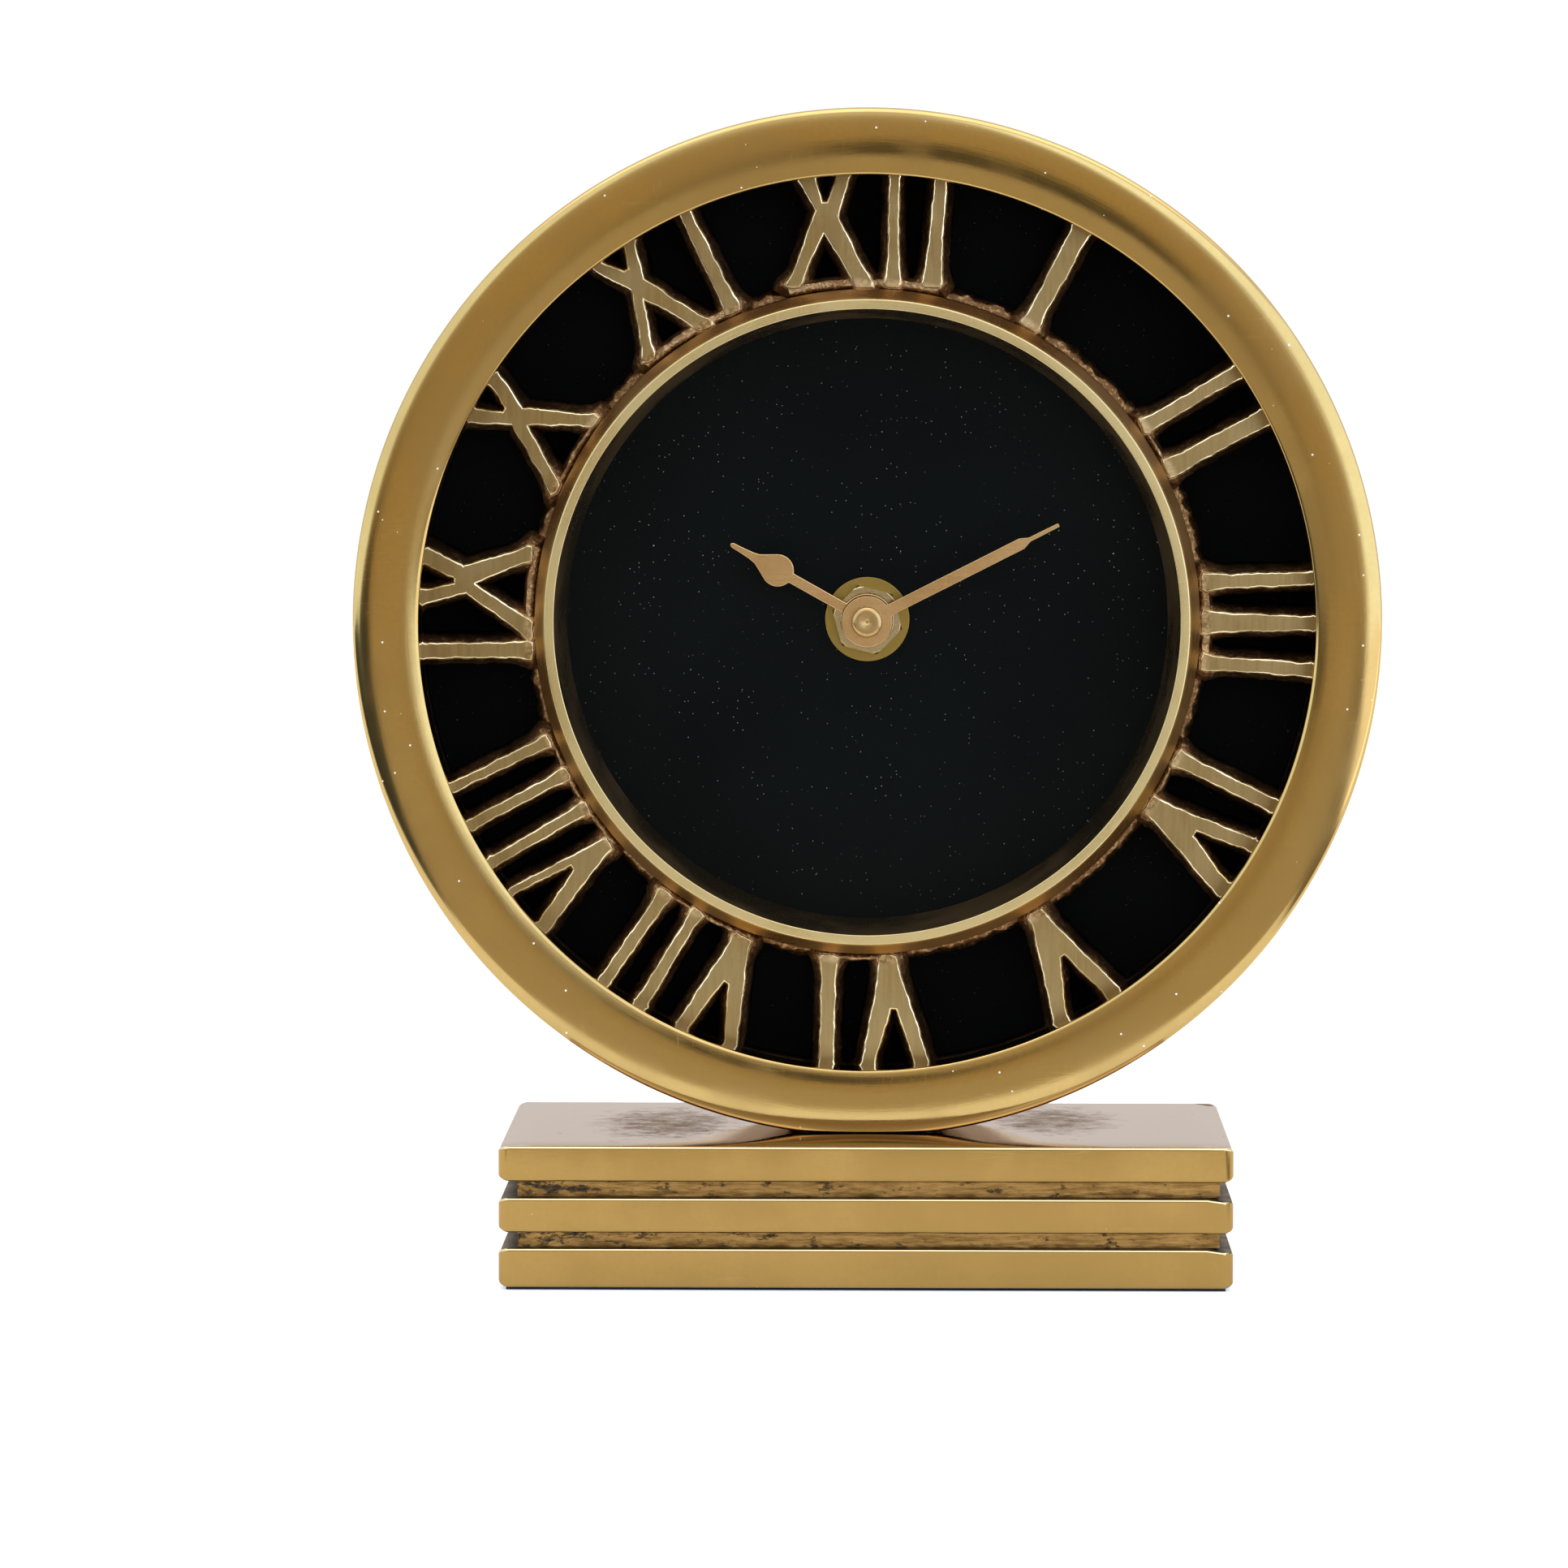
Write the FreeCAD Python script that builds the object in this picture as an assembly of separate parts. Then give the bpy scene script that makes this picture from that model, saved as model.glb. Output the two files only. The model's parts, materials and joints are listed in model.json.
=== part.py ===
import FreeCAD, Part
import math
import os

# Round brass desk clock: a heavy ring that holds an openwork numeral casting and a
# sunk black dial, standing on a grooved three-slab base. Millimetres, +Z up, the
# front faces -Y, and the origin is the middle of the underside of the base.

# Driving sizes of the base
base_width = 97.0
base_depth = 46.0
base_corner_radius = 1.4
pad_thickness = 0.4
pad_inset = 1.0
bottom_slab_height = 5.2
lower_groove_height = 2.1
middle_slab_height = 4.6
upper_groove_height = 2.2
top_slab_height = 4.8
groove_depth = 2.0
groove_depth_left = 2.5
groove_depth_right = 1.75
edge_break = 0.3

# Driving sizes of the ring
ring_radius = 68.5
ring_opening_radius = 59.6
ring_half_depth = 10.0
ring_front_rounding = 1.1
ring_back_rounding = 1.5
ring_arris = 0.35
ring_sink = 0.5
ring_bore_radius = 61.4
back_recess_radius = 66.5

# Levels along Y, from the front of the ring to its back
numeral_front = -4.0
numeral_back = 4.5
band_front = -0.6
collar_front = -5.8
dial_front = 5.5
dial_back = 7.0
back_plate_back = 8.5
movement_front = 7.5

# The numeral casting
numeral_inner_radius = 44.55
band_outer_radius = 45.5
foot_outer_radius = 45.2
numeral_reading_in = 45.2
numeral_reading_out = 59.3
numeral_end_in = 44.9
numeral_end_out = 60.6
flange_inner_radius = 59.9
flange_outer_radius = 61.3
draft_angle_deg = 7.0

# The dial collar
collar_inner_front = 41.85
collar_outer_front = 43.15
collar_inner_back = 40.55
collar_wall_radius = 44.5
collar_foot_radius = 46.0
collar_foot_height = 0.95
collar_foot_clearance = 0.1
collar_rounding_out = 0.35
collar_rounding_back = 0.5
collar_slope_end = -4.2

# Hands, as turned clockwise from twelve
minute_angle = 63.2
hour_angle = 299.3
hand_thickness = 0.5
hour_hand_front = 0.9
minute_hand_front = -1.1
cap_front = -3.2

# The movement's case
case_half = 28.0
case_wall = 1.2
case_corner = 3.0
case_back = 19.6
cover_back = 20.8
bay_top = -11.2
knob_front = 21.0
knob_back = 22.9

# Radii of the hand work, each running in the next
arbor_radius = 1.45
hour_tube_bore = 1.53
hour_tube_radius = 2.25
bushing_bore = 2.33
bushing_radius = 3.1
bushing_clearance = 0.1
bushing_flange_radius = 4.0
bushing_flange_thickness = 0.5
pivot_radius = 0.5
pivot_clearance = 0.06
pivot_end_clearance = 0.2

# Wheels: teeth and module, with each axis given from the axis of the hands
fine_module = 0.25
motion_module = 0.3
cannon_teeth = 15
motion_wheel_teeth = 45
motion_pinion_teeth = 12
hour_wheel_teeth = 48
centre_wheel_teeth = 60
third_pinion_teeth = 8
third_wheel_teeth = 64
seconds_pinion_teeth = 8
seconds_wheel_teeth = 60
intermediate_pinion_teeth = 10
intermediate_wheel_teeth = 50
rotor_pinion_teeth = 10

# How far a cutting shape runs past what it cuts
past = 1.0

# Levels built up from the driving sizes
pad_top = pad_thickness
bottom_slab_top = pad_top + bottom_slab_height
lower_groove_top = bottom_slab_top + lower_groove_height
middle_slab_top = lower_groove_top + middle_slab_height
upper_groove_top = middle_slab_top + upper_groove_height
base_top = upper_groove_top + top_slab_height
axis_height = base_top - ring_sink + ring_radius


def vec(x, y, z):
    return FreeCAD.Vector(x, y, z)


y_axis = vec(0, 1, 0)


def polar(radius, clock_deg):
    # Offset from the hand axis, the angle turned clockwise from twelve.
    angle = math.radians(clock_deg)
    return radius * math.sin(angle), radius * math.cos(angle)


def post(x, z, radius, y0, y1):
    # A cylinder along Y, placed from the axis of the hands.
    return Part.makeCylinder(radius, y1 - y0, vec(x, y0, axis_height + z), y_axis)


def tube(x, z, inner, outer, y0, y1):
    return post(x, z, outer, y0, y1).cut(post(x, z, inner, y0 - past, y1 + past))


def stud(x, y, radius, z0, z1):
    # A cylinder along Z.
    return Part.makeCylinder(radius, z1 - z0, vec(x, y, z0))


def turned(profile):
    # Turns a closed profile of (radius, y) corners round the axis of the hands.
    points = [vec(radius, y, axis_height) for radius, y in profile]
    face = Part.Face(Part.makePolygon(points + points[:1]))
    return face.revolve(vec(0, 0, axis_height), y_axis, 360)


def plate(corners, y0, y1):
    # A flat plate cut to an outline of (x, z) corners from the axis of the hands.
    points = [vec(x, y0, axis_height + z) for x, z in corners]
    return Part.Face(Part.makePolygon(points + points[:1])).extrude(vec(0, y1 - y0, 0))


def box(x0, x1, y0, y1, z0, z1):
    # A box placed from the axis of the hands.
    return Part.makeBox(x1 - x0, y1 - y0, z1 - z0, vec(x0, y0, axis_height + z0))


def with_round_corners(block, direction, radius):
    # Rounds the edges of a block that run along a direction.
    edges = []
    for edge in block.Edges:
        along = edge.tangentAt(edge.FirstParameter)
        if abs(along.dot(direction)) > 0.999:
            edges.append(edge)
    return block.makeFillet(radius, edges)


def group(solids):
    return Part.makeCompound(solids)


# The base
def slab(z0, z1):
    block = Part.makeBox(base_width, base_depth, z1 - z0, vec(-base_width / 2, -base_depth / 2, z0))
    block = with_round_corners(block, vec(0, 0, 1), base_corner_radius)
    rim_edges = [edge for edge in block.Edges if abs(edge.CenterOfMass.z - z1) < 0.001]
    return block.makeChamfer(edge_break, rim_edges)


def spacer(z0, z1):
    x0 = -base_width / 2 + groove_depth_left
    x1 = base_width / 2 - groove_depth_right
    y0 = -base_depth / 2 + groove_depth
    return Part.makeBox(x1 - x0, -2 * y0, z1 - z0, vec(x0, y0, z0))


ring_bolt_places = [(-7.0, 0.0), (7.0, 0.0)]
ring_bolt_radius = 2.0
ring_bolt_hole = 2.2
ring_bolt_head_radius = 3.5
ring_bolt_head_base = 1.0
ring_bolt_top = base_top + 4.3
bolt_washer_bottom = 3.4
bolt_washer_top = 3.9
counterbore_radius = 4.3
base_screw_places = [(x, y) for x in (-38.0, 38.0) for y in (-14.0, 14.0)]
base_screw_radius = 1.5
base_screw_hole = 1.65
base_screw_head_radius = 2.8
base_screw_head_base = 0.6
base_screw_top = 17.6
base_screw_end = 17.3
base_screw_slot = (5.0, 0.7, 0.8)
head_clearance = 0.1
bolt_socket_radius = 1.4
bolt_socket_depth = 1.4
bolt_washer_clearance = 0.1
ring_bolt_hole_end = ring_bolt_top + 0.4


def bolt_holes(radius):
    return [stud(x, y, radius, 0, ring_bolt_top) for x, y in ring_bolt_places]


def screw_holes(radius, top):
    return [stud(x, y, radius, 0, top) for x, y in base_screw_places]


def screw_head(x, y, grow):
    # The countersunk head, or the cone that takes it.
    top = base_screw_head_base + base_screw_head_radius - base_screw_radius
    cone = Part.makeCone(base_screw_head_radius + grow, base_screw_radius + grow,
                         top - base_screw_head_base, vec(x, y, base_screw_head_base))
    return cone


def make_bottom_slab():
    solid = slab(pad_top, bottom_slab_top)
    for hole in bolt_holes(ring_bolt_hole) + screw_holes(base_screw_hole, base_top):
        solid = solid.cut(hole)
    for x, y in ring_bolt_places:
        solid = solid.cut(stud(x, y, counterbore_radius, 0, bolt_washer_top))
    for x, y in base_screw_places:
        solid = solid.cut(screw_head(x, y, head_clearance))
        solid = solid.cut(stud(x, y, base_screw_head_radius + head_clearance, 0, base_screw_head_base))
    return solid


def make_drilled(solid):
    for hole in bolt_holes(ring_bolt_hole) + screw_holes(base_screw_hole, base_top):
        solid = solid.cut(hole)
    return solid


def make_top_slab():
    solid = slab(upper_groove_top, base_top).cut(ring_blank())
    for hole in bolt_holes(ring_bolt_hole) + screw_holes(base_screw_radius, base_screw_top):
        solid = solid.cut(hole)
    return solid


def make_pad():
    x0 = base_width / 2 - pad_inset
    y0 = base_depth / 2 - pad_inset
    return Part.makeBox(2 * x0, 2 * y0, pad_thickness, vec(-x0, -y0, 0))


def make_base_screws():
    screws = []
    length, width, depth = base_screw_slot
    for x, y in base_screw_places:
        shank = stud(x, y, base_screw_radius, base_screw_head_base, base_screw_end)
        slot = Part.makeBox(length, width, depth, vec(x - length / 2, y - width / 2, base_screw_head_base))
        screws.append(shank.fuse(screw_head(x, y, 0)).cut(slot))
    return group(screws)


def make_ring_bolts():
    bolts = []
    for x, y in ring_bolt_places:
        shank = stud(x, y, ring_bolt_radius, bolt_washer_bottom, ring_bolt_top)
        head = stud(x, y, ring_bolt_head_radius, ring_bolt_head_base, bolt_washer_bottom)
        corners = []
        for k in range(7):
            angle = math.radians(60 * k)
            dx = bolt_socket_radius * math.cos(angle)
            dy = bolt_socket_radius * math.sin(angle)
            corners.append(vec(x + dx, y + dy, ring_bolt_head_base))
        socket = Part.Face(Part.makePolygon(corners)).extrude(vec(0, 0, bolt_socket_depth))
        bolts.append(shank.fuse(head).cut(socket))
    return group(bolts)


def make_ring_bolt_washers():
    washers = []
    for x, y in ring_bolt_places:
        disc = stud(x, y, counterbore_radius - bolt_washer_clearance, bolt_washer_bottom, bolt_washer_top)
        washers.append(disc.cut(stud(x, y, ring_bolt_radius + bolt_washer_clearance, 0, base_top)))
    return group(washers)


# The ring and what closes its back
def ring_blank():
    # The outer form of the ring as a full disc, with its rounded front and back edges.
    front = -ring_half_depth
    back = ring_half_depth
    r = ring_radius
    f = ring_front_rounding
    b = ring_back_rounding
    half = math.sqrt(0.5)

    def at(radius, y):
        return vec(radius, y, axis_height)

    edges = [
        Part.makeLine(at(0, front), at(r - f, front)),
        Part.Arc(at(r - f, front), at(r - f + f * half, front + f - f * half), at(r, front + f)).toShape(),
        Part.makeLine(at(r, front + f), at(r, back - b)),
        Part.Arc(at(r, back - b), at(r - b + b * half, back - b + b * half), at(r - b, back)).toShape(),
        Part.makeLine(at(r - b, back), at(0, back)),
        Part.makeLine(at(0, back), at(0, front)),
    ]
    return Part.Face(Part.Wire(edges)).revolve(vec(0, 0, axis_height), y_axis, 360)


plate_screw_circle = 64.1
plate_screw_radius = 1.25
plate_screw_depth = 5.0
plate_screw_head_radius = 2.2
plate_screw_head_back = 9.8
plate_screw_tip_room = 0.5
plate_screw_hole_clearance = 0.2
plate_screw_slot_half = 0.25
plate_screw_slot_depth = 0.6
back_plate_clearance = 0.1
case_window_clearance = 0.6
plate_screw_places = [polar(plate_screw_circle, 30 + 60 * k) for k in range(6)]


def make_rim():
    front = -ring_half_depth
    solid = ring_blank()
    bore = turned([
        (0, front - past), (ring_opening_radius + ring_arris + past, front - past),
        (ring_opening_radius, front + ring_arris), (ring_opening_radius, numeral_front),
        (ring_bore_radius, numeral_front), (ring_bore_radius, dial_back),
        (back_recess_radius, dial_back), (back_recess_radius, ring_half_depth + past),
        (0, ring_half_depth + past),
    ])
    solid = solid.cut(bore)
    for x, z in plate_screw_places:
        hole_end = dial_back - plate_screw_depth - plate_screw_tip_room
        solid = solid.cut(post(x, z, plate_screw_radius, hole_end, dial_back + past))
    for x, y in ring_bolt_places:
        solid = solid.cut(stud(x, y, ring_bolt_radius, 0, ring_bolt_hole_end))
    return solid


def make_back_plate():
    opening = case_half + case_window_clearance
    disc = post(0, 0, back_recess_radius - back_plate_clearance, dial_back, back_plate_back)
    window = box(-opening, opening, dial_back - past, back_plate_back + past, -opening, opening)
    disc = disc.cut(with_round_corners(window, y_axis, case_corner))
    for x, z in plate_screw_places:
        hole_radius = plate_screw_radius + plate_screw_hole_clearance
        disc = disc.cut(post(x, z, hole_radius, dial_back - past, back_plate_back + past))
    return disc


def make_back_plate_screws():
    screws = []
    for x, z in plate_screw_places:
        shank = post(x, z, plate_screw_radius, dial_back - plate_screw_depth, back_plate_back)
        head = post(x, z, plate_screw_head_radius, back_plate_back, plate_screw_head_back)
        slot = box(x - plate_screw_head_radius - past, x + plate_screw_head_radius + past,
                   plate_screw_head_back - plate_screw_slot_depth, plate_screw_head_back + past,
                   z - plate_screw_slot_half, z + plate_screw_slot_half)
        screws.append(shank.fuse(head).cut(slot))
    return group(screws)


# The numeral casting. A stroke's corners are (t, r): t is the distance clockwise
# of the numeral's own radius and r the distance from the axis of the hands.
def on_line(a, b, radius):
    # The point at a radius on the line through two corners.
    share = (radius - a[1]) / (b[1] - a[1])
    return a[0] + share * (b[0] - a[0]), radius


def bar(in_left, in_right, out_left, out_right):
    left_in, left_out = (in_left, numeral_reading_in), (out_left, numeral_reading_out)
    right_in, right_out = (in_right, numeral_reading_in), (out_right, numeral_reading_out)
    return [
        on_line(left_in, left_out, numeral_end_in), on_line(left_in, left_out, numeral_end_out),
        on_line(right_in, right_out, numeral_end_out), on_line(right_in, right_out, numeral_end_in),
    ]


def vee(apex, notch, left_leg, right_leg):
    left_in, left_out = (apex[0], numeral_reading_in), (left_leg[0], numeral_reading_out)
    right_in, right_out = (apex[1], numeral_reading_in), (right_leg[1], numeral_reading_out)
    return [
        on_line(left_in, left_out, numeral_end_in), on_line(left_in, left_out, numeral_end_out),
        on_line(notch, (left_leg[1], numeral_reading_out), numeral_end_out), notch,
        on_line(notch, (right_leg[0], numeral_reading_out), numeral_end_out),
        on_line(right_in, right_out, numeral_end_out), on_line(right_in, right_out, numeral_end_in),
    ]


def cross(waist_left, waist_right, notch_out, notch_in, out_left, out_right, in_left, in_right):
    top = numeral_reading_out
    low = numeral_reading_in
    return [
        on_line(waist_left, (out_left[0], top), numeral_end_out),
        on_line(notch_out, (out_left[1], top), numeral_end_out), notch_out,
        on_line(notch_out, (out_right[0], top), numeral_end_out),
        on_line(waist_right, (out_right[1], top), numeral_end_out), waist_right,
        on_line(waist_right, (in_right[1], low), numeral_end_in),
        on_line(notch_in, (in_right[0], low), numeral_end_in), notch_in,
        on_line(notch_in, (in_left[1], low), numeral_end_in),
        on_line(waist_left, (in_left[0], low), numeral_end_in), waist_left,
    ]


numeral_strokes = {
    1: [bar(-2.1, 0.1, -2.85, -0.15)],
    2: [bar(-5.1, -3.35, -5.35, -3.3), bar(1.15, 3.5, 1.5, 3.9)],
    3: [bar(-6.5, -4.4, -6.9, -5.05), bar(-1.55, 1.35, -0.95, 1.05), bar(4.35, 6.25, 5.25, 7.35)],
    4: [bar(-6.1, -4.05, -6.95, -5.0), vee((1.05, 3.35), (2.5, 52.2), (-0.95, 0.95), (5.85, 8.4))],
    5: [vee((-1.0, 0.75), (-0.35, 52.0), (-4.95, -2.6), (3.1, 5.3))],
    6: [vee((-3.9, -1.85), (-3.65, 52.0), (-8.6, -6.4), (-1.2, 0.7)), bar(3.95, 6.05, 4.4, 6.4)],
    7: [vee((-7.9, -5.6), (-7.9, 51.4), (-14.0, -12.0), (-6.65, -4.7)),
        bar(-0.5, 1.05, -0.4, 1.55), bar(4.3, 6.15, 5.45, 7.25)],
    8: [vee((-9.2, -7.5), (-8.8, 50.8), (-15.5, -13.2), (-8.1, -6.85)), bar(-3.6, -1.9, -3.55, -2.0),
        bar(1.75, 3.3, 2.1, 3.8), bar(6.85, 8.4, 7.75, 9.3)],
    9: [bar(-4.8, -2.6, -4.9, -2.8),
        cross((3.8, 53.7), (7.6, 54.0), (5.5, 55.3), (5.15, 52.3),
              (2.4, 4.4), (7.7, 10.4), (-2.3, 0.3), (8.3, 10.1))],
    10: [cross((-0.9, 54.4), (1.95, 54.2), (0.35, 56.2), (0.15, 52.3),
               (-3.6, -1.3), (2.2, 4.2), (-6.1, -4.4), (4.3, 5.9))],
    11: [cross((-5.2, 54.1), (-2.75, 54.6), (-4.3, 56.8), (-4.2, 52.1),
               (-8.3, -6.6), (-3.1, -1.5), (-8.3, -6.8), (0.1, 2.0)), bar(4.4, 6.4, 5.4, 7.15)],
    12: [cross((-7.0, 55.0), (-3.85, 54.2), (-5.65, 56.1), (-5.8, 51.8),
               (-9.5, -6.9), (-4.2, -2.3), (-10.5, -8.9), (-1.5, 0.7)), bar(2.5, 4.3, 2.85, 4.3),
         bar(7.5, 9.8, 9.0, 10.7)],
}


def grown(corners, distance):
    # Moves each side of an outline outwards and meets the moved sides again.
    area = 0.0
    count = len(corners)
    for k in range(count):
        x0, y0 = corners[k]
        x1, y1 = corners[(k + 1) % count]
        area += x0 * y1 - x1 * y0
    turn = 1.0 if area > 0 else -1.0
    lines = []
    for k in range(count):
        x0, y0 = corners[k]
        x1, y1 = corners[(k + 1) % count]
        length = math.hypot(x1 - x0, y1 - y0)
        normal = (turn * (y1 - y0) / length, -turn * (x1 - x0) / length)
        lines.append((normal, normal[0] * x0 + normal[1] * y0 + distance))
    result = []
    for k in range(count):
        (ax, ay), a = lines[k - 1]
        (bx, by), b = lines[k]
        cross_product = ax * by - ay * bx
        result.append(((a * by - b * ay) / cross_product, (ax * b - bx * a) / cross_product))
    return result


def stroke_wire(corners, y, hour):
    angle = math.radians(30 * hour)
    points = []
    for t, r in corners:
        x = r * math.sin(angle) + t * math.cos(angle)
        z = r * math.cos(angle) - t * math.sin(angle)
        points.append(vec(x, y, axis_height + z))
    return Part.makePolygon(points + points[:1])


def drafted_stroke(corners, hour):
    spread = (numeral_back - numeral_front) * math.tan(math.radians(draft_angle_deg))
    front = stroke_wire(corners, numeral_front, hour)
    back = stroke_wire(grown(corners, spread), numeral_back, hour)
    return Part.makeLoft([front, back], True, True)


def foot(strokes, hour):
    # The short arc of full height that ties the feet of one numeral together.
    feet = [t for stroke in strokes for t, r in stroke if r < numeral_reading_in]
    start = math.degrees(min(feet) / numeral_reading_in)
    sweep = math.degrees(max(feet) / numeral_reading_in) - start
    arc = tube(0, 0, numeral_inner_radius, foot_outer_radius, numeral_front, band_front + past)
    left = polar(ring_radius, 30 * hour + start)
    right = polar(ring_radius, 30 * hour + start + sweep)
    wedge = plate([(0, 0), left, right], numeral_front - past, numeral_back)
    return arc.common(wedge)


def make_numeral_ring():
    solids = [
        tube(0, 0, numeral_inner_radius, band_outer_radius, band_front, numeral_back),
        tube(0, 0, flange_inner_radius, flange_outer_radius, numeral_front, numeral_back),
    ]
    for hour, strokes in numeral_strokes.items():
        solids.append(foot(strokes, hour))
        for corners in strokes:
            solids.append(drafted_stroke(corners, hour))
    casting = solids[0].multiFuse(solids[1:])
    outside = tube(0, 0, flange_outer_radius, flange_outer_radius + 10 * past, numeral_front - past,
                   numeral_back + past)
    inside = post(0, 0, numeral_inner_radius, numeral_front - past, numeral_back + past)
    return casting.cut(outside).cut(inside).removeSplitter()


def make_numeral_backing():
    inner = collar_foot_radius + collar_foot_clearance
    return tube(0, 0, inner, flange_outer_radius, numeral_back, dial_front)


def make_dial_collar():
    foot_front = dial_front - collar_foot_height
    return turned([
        (collar_inner_front, collar_front), (collar_outer_front, collar_front),
        (collar_outer_front + collar_rounding_out, collar_front + collar_rounding_back),
        (collar_wall_radius, collar_slope_end),
        (collar_wall_radius, foot_front), (collar_foot_radius, foot_front),
        (collar_foot_radius, dial_front), (collar_inner_back, dial_front),
    ])


def make_dial_plate():
    return tube(0, 0, bushing_radius + bushing_clearance, flange_outer_radius, dial_front, dial_back)


# What holds the movement to the dial
washer_front = 5.0
nut_front = 3.0
bushing_front = 2.4
washer_radius = 5.7
rubber_washer_radius = 9.0
nut_across_flats = 8.4
nut_corner_angle = 44.5
nut_chamfer_inset = 0.1
nut_chamfer_depth = 0.75


def make_dial_washer():
    return tube(0, 0, bushing_radius + bushing_clearance, washer_radius, washer_front, dial_front)


def make_hex_nut():
    corner = nut_across_flats / 2 / math.cos(math.radians(30))
    outline = [polar(corner, nut_corner_angle + 60 * k) for k in range(6)]
    blank = plate(outline, nut_front, washer_front)
    outer = corner + nut_chamfer_inset
    chamfer = turned([(0, nut_front), (nut_across_flats / 2 - nut_chamfer_inset, nut_front),
                      (outer, nut_front + nut_chamfer_depth), (outer, washer_front), (0, washer_front)])
    return blank.common(chamfer).cut(post(0, 0, bushing_radius, nut_front - past, washer_front + past))


def make_rubber_washer():
    return tube(0, 0, bushing_radius + bushing_clearance, rubber_washer_radius, dial_back, movement_front)


def make_bushing():
    flange_front = movement_front + case_wall
    body = tube(0, 0, bushing_bore, bushing_radius, bushing_front, flange_front)
    flange_back = flange_front - bushing_flange_thickness
    return body.fuse(tube(0, 0, bushing_bore, bushing_flange_radius, flange_back, flange_front))


# The hands
def hand_point(angle, t, r):
    a = math.radians(angle)
    return r * math.sin(a) + t * math.cos(a), r * math.cos(a) - t * math.sin(a)


def hand_plate(half_outline, angle, front, boss_radius, hole_radius):
    # A hand that is the same on both sides of its own line, round its boss.
    corners = [hand_point(angle, -t, r) for r, t in half_outline]
    corners += [hand_point(angle, t, r) for r, t in reversed(half_outline)]
    blade = plate(corners, front, front + hand_thickness)
    boss = post(0, 0, boss_radius, front, front + hand_thickness)
    hole = post(0, 0, hole_radius, front - past, front + hand_thickness + past)
    return blade.fuse(boss).cut(hole).removeSplitter()


hour_boss_radius = 3.64
minute_boss_radius = 3.4
stem_start = 2.6
bulb_centre = 13.8
bulb_radius = 2.2
hour_stem_half = 0.72
hour_tip = 21.1
minute_stem_half = 0.78
minute_tip = 28.8
arbor_seat_radius = arbor_radius - 0.25
arbor_thread_radius = 0.9
arbor_thread_length = 1.1
arbor_step_y = 1.0
cap_radius = 2.05
cap_edge = 0.2
cap_dimple_radius = 0.25
cap_dimple_depth = 0.15
cap_bore_length = 1.2


def hour_outline():
    points = [(stem_start, hour_stem_half), (11.6, hour_stem_half)]
    for degrees in range(160, 50, -10):
        a = math.radians(degrees)
        points.append((bulb_centre + bulb_radius * math.cos(a), bulb_radius * math.sin(a)))
    points += [(16.2, 1.15), (17.0, 0.72), (17.9, 0.54), (19.4, 0.42)]
    points += [(hour_tip - 0.35, 0.36), (hour_tip, 0.15)]
    return points


def make_hour_hand():
    return hand_plate(hour_outline(), hour_angle, hour_hand_front, hour_boss_radius, hour_tube_radius)


def make_minute_hand():
    outline = [(stem_start, minute_stem_half), (23.2, minute_stem_half), (23.8, 0.55),
               (24.4, 0.3), (minute_tip - 0.1, 0.27), (minute_tip, 0.18)]
    return hand_plate(outline, minute_angle, minute_hand_front, minute_boss_radius, arbor_seat_radius)


def make_hand_cap_nut():
    cap_back = minute_hand_front
    bore_end = cap_back - cap_bore_length
    return turned([
        (0, cap_front + cap_dimple_depth), (cap_dimple_radius, cap_front), (cap_radius - cap_edge, cap_front),
        (cap_radius, cap_front + cap_edge), (cap_radius, cap_back), (arbor_thread_radius, cap_back),
        (arbor_thread_radius, bore_end), (0, bore_end),
    ])


# Wheels. Teeth are straight-flanked, thin enough to leave play in the mesh.
tooth_root_share = 0.29
tooth_pitch_share = 0.19
tooth_tip_share = 0.09
addendum = 0.8
dedendum = 1.15


def toothed(place, teeth, module, tooth_at, y0, y1):
    # A wheel or pinion with one tooth pointing at the given clock angle.
    pitch_radius = teeth * module / 2
    step = 360.0 / teeth
    levels = [(pitch_radius - dedendum * module, tooth_root_share), (pitch_radius, tooth_pitch_share),
              (pitch_radius + addendum * module, tooth_tip_share)]
    corners = []
    for k in range(teeth):
        middle = tooth_at + step * k
        for radius, share in levels:
            corners.append(polar(radius, middle - step * share))
        for radius, share in reversed(levels):
            corners.append(polar(radius, middle + step * share))
    x0, z0 = place
    return plate([(x0 + x, z0 + z) for x, z in corners], y0, y1)


def bearing(a, b):
    # Clock angle of the way from one axis to another, and back again.
    forward = math.degrees(math.atan2(b[0] - a[0], b[1] - a[1]))
    return forward, forward + 180


def beyond(start, distance, clock_deg):
    dx, dz = polar(distance, clock_deg)
    return start[0] + dx, start[1] + dz


def mesh_distance(teeth_a, teeth_b, module):
    return (teeth_a + teeth_b) * module / 2


hand_axis = (0.0, 0.0)
motion_axis = beyond(hand_axis, mesh_distance(cannon_teeth, motion_wheel_teeth, motion_module), 250)
third_axis = beyond(hand_axis, mesh_distance(centre_wheel_teeth, third_pinion_teeth, fine_module), 30)
seconds_axis = beyond(third_axis, mesh_distance(third_wheel_teeth, seconds_pinion_teeth, fine_module), -80)
intermediate_axis = beyond(
    seconds_axis, mesh_distance(seconds_wheel_teeth, intermediate_pinion_teeth, fine_module), -10)
rotor_axis = beyond(
    intermediate_axis, mesh_distance(intermediate_wheel_teeth, rotor_pinion_teeth, fine_module), 75)
post_front = 11.0
post_back = 11.8
post_radius = 0.9
pivot_start = 11.3
pivot_end = 20.2
pivot_hole_depth = 0.8

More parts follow.
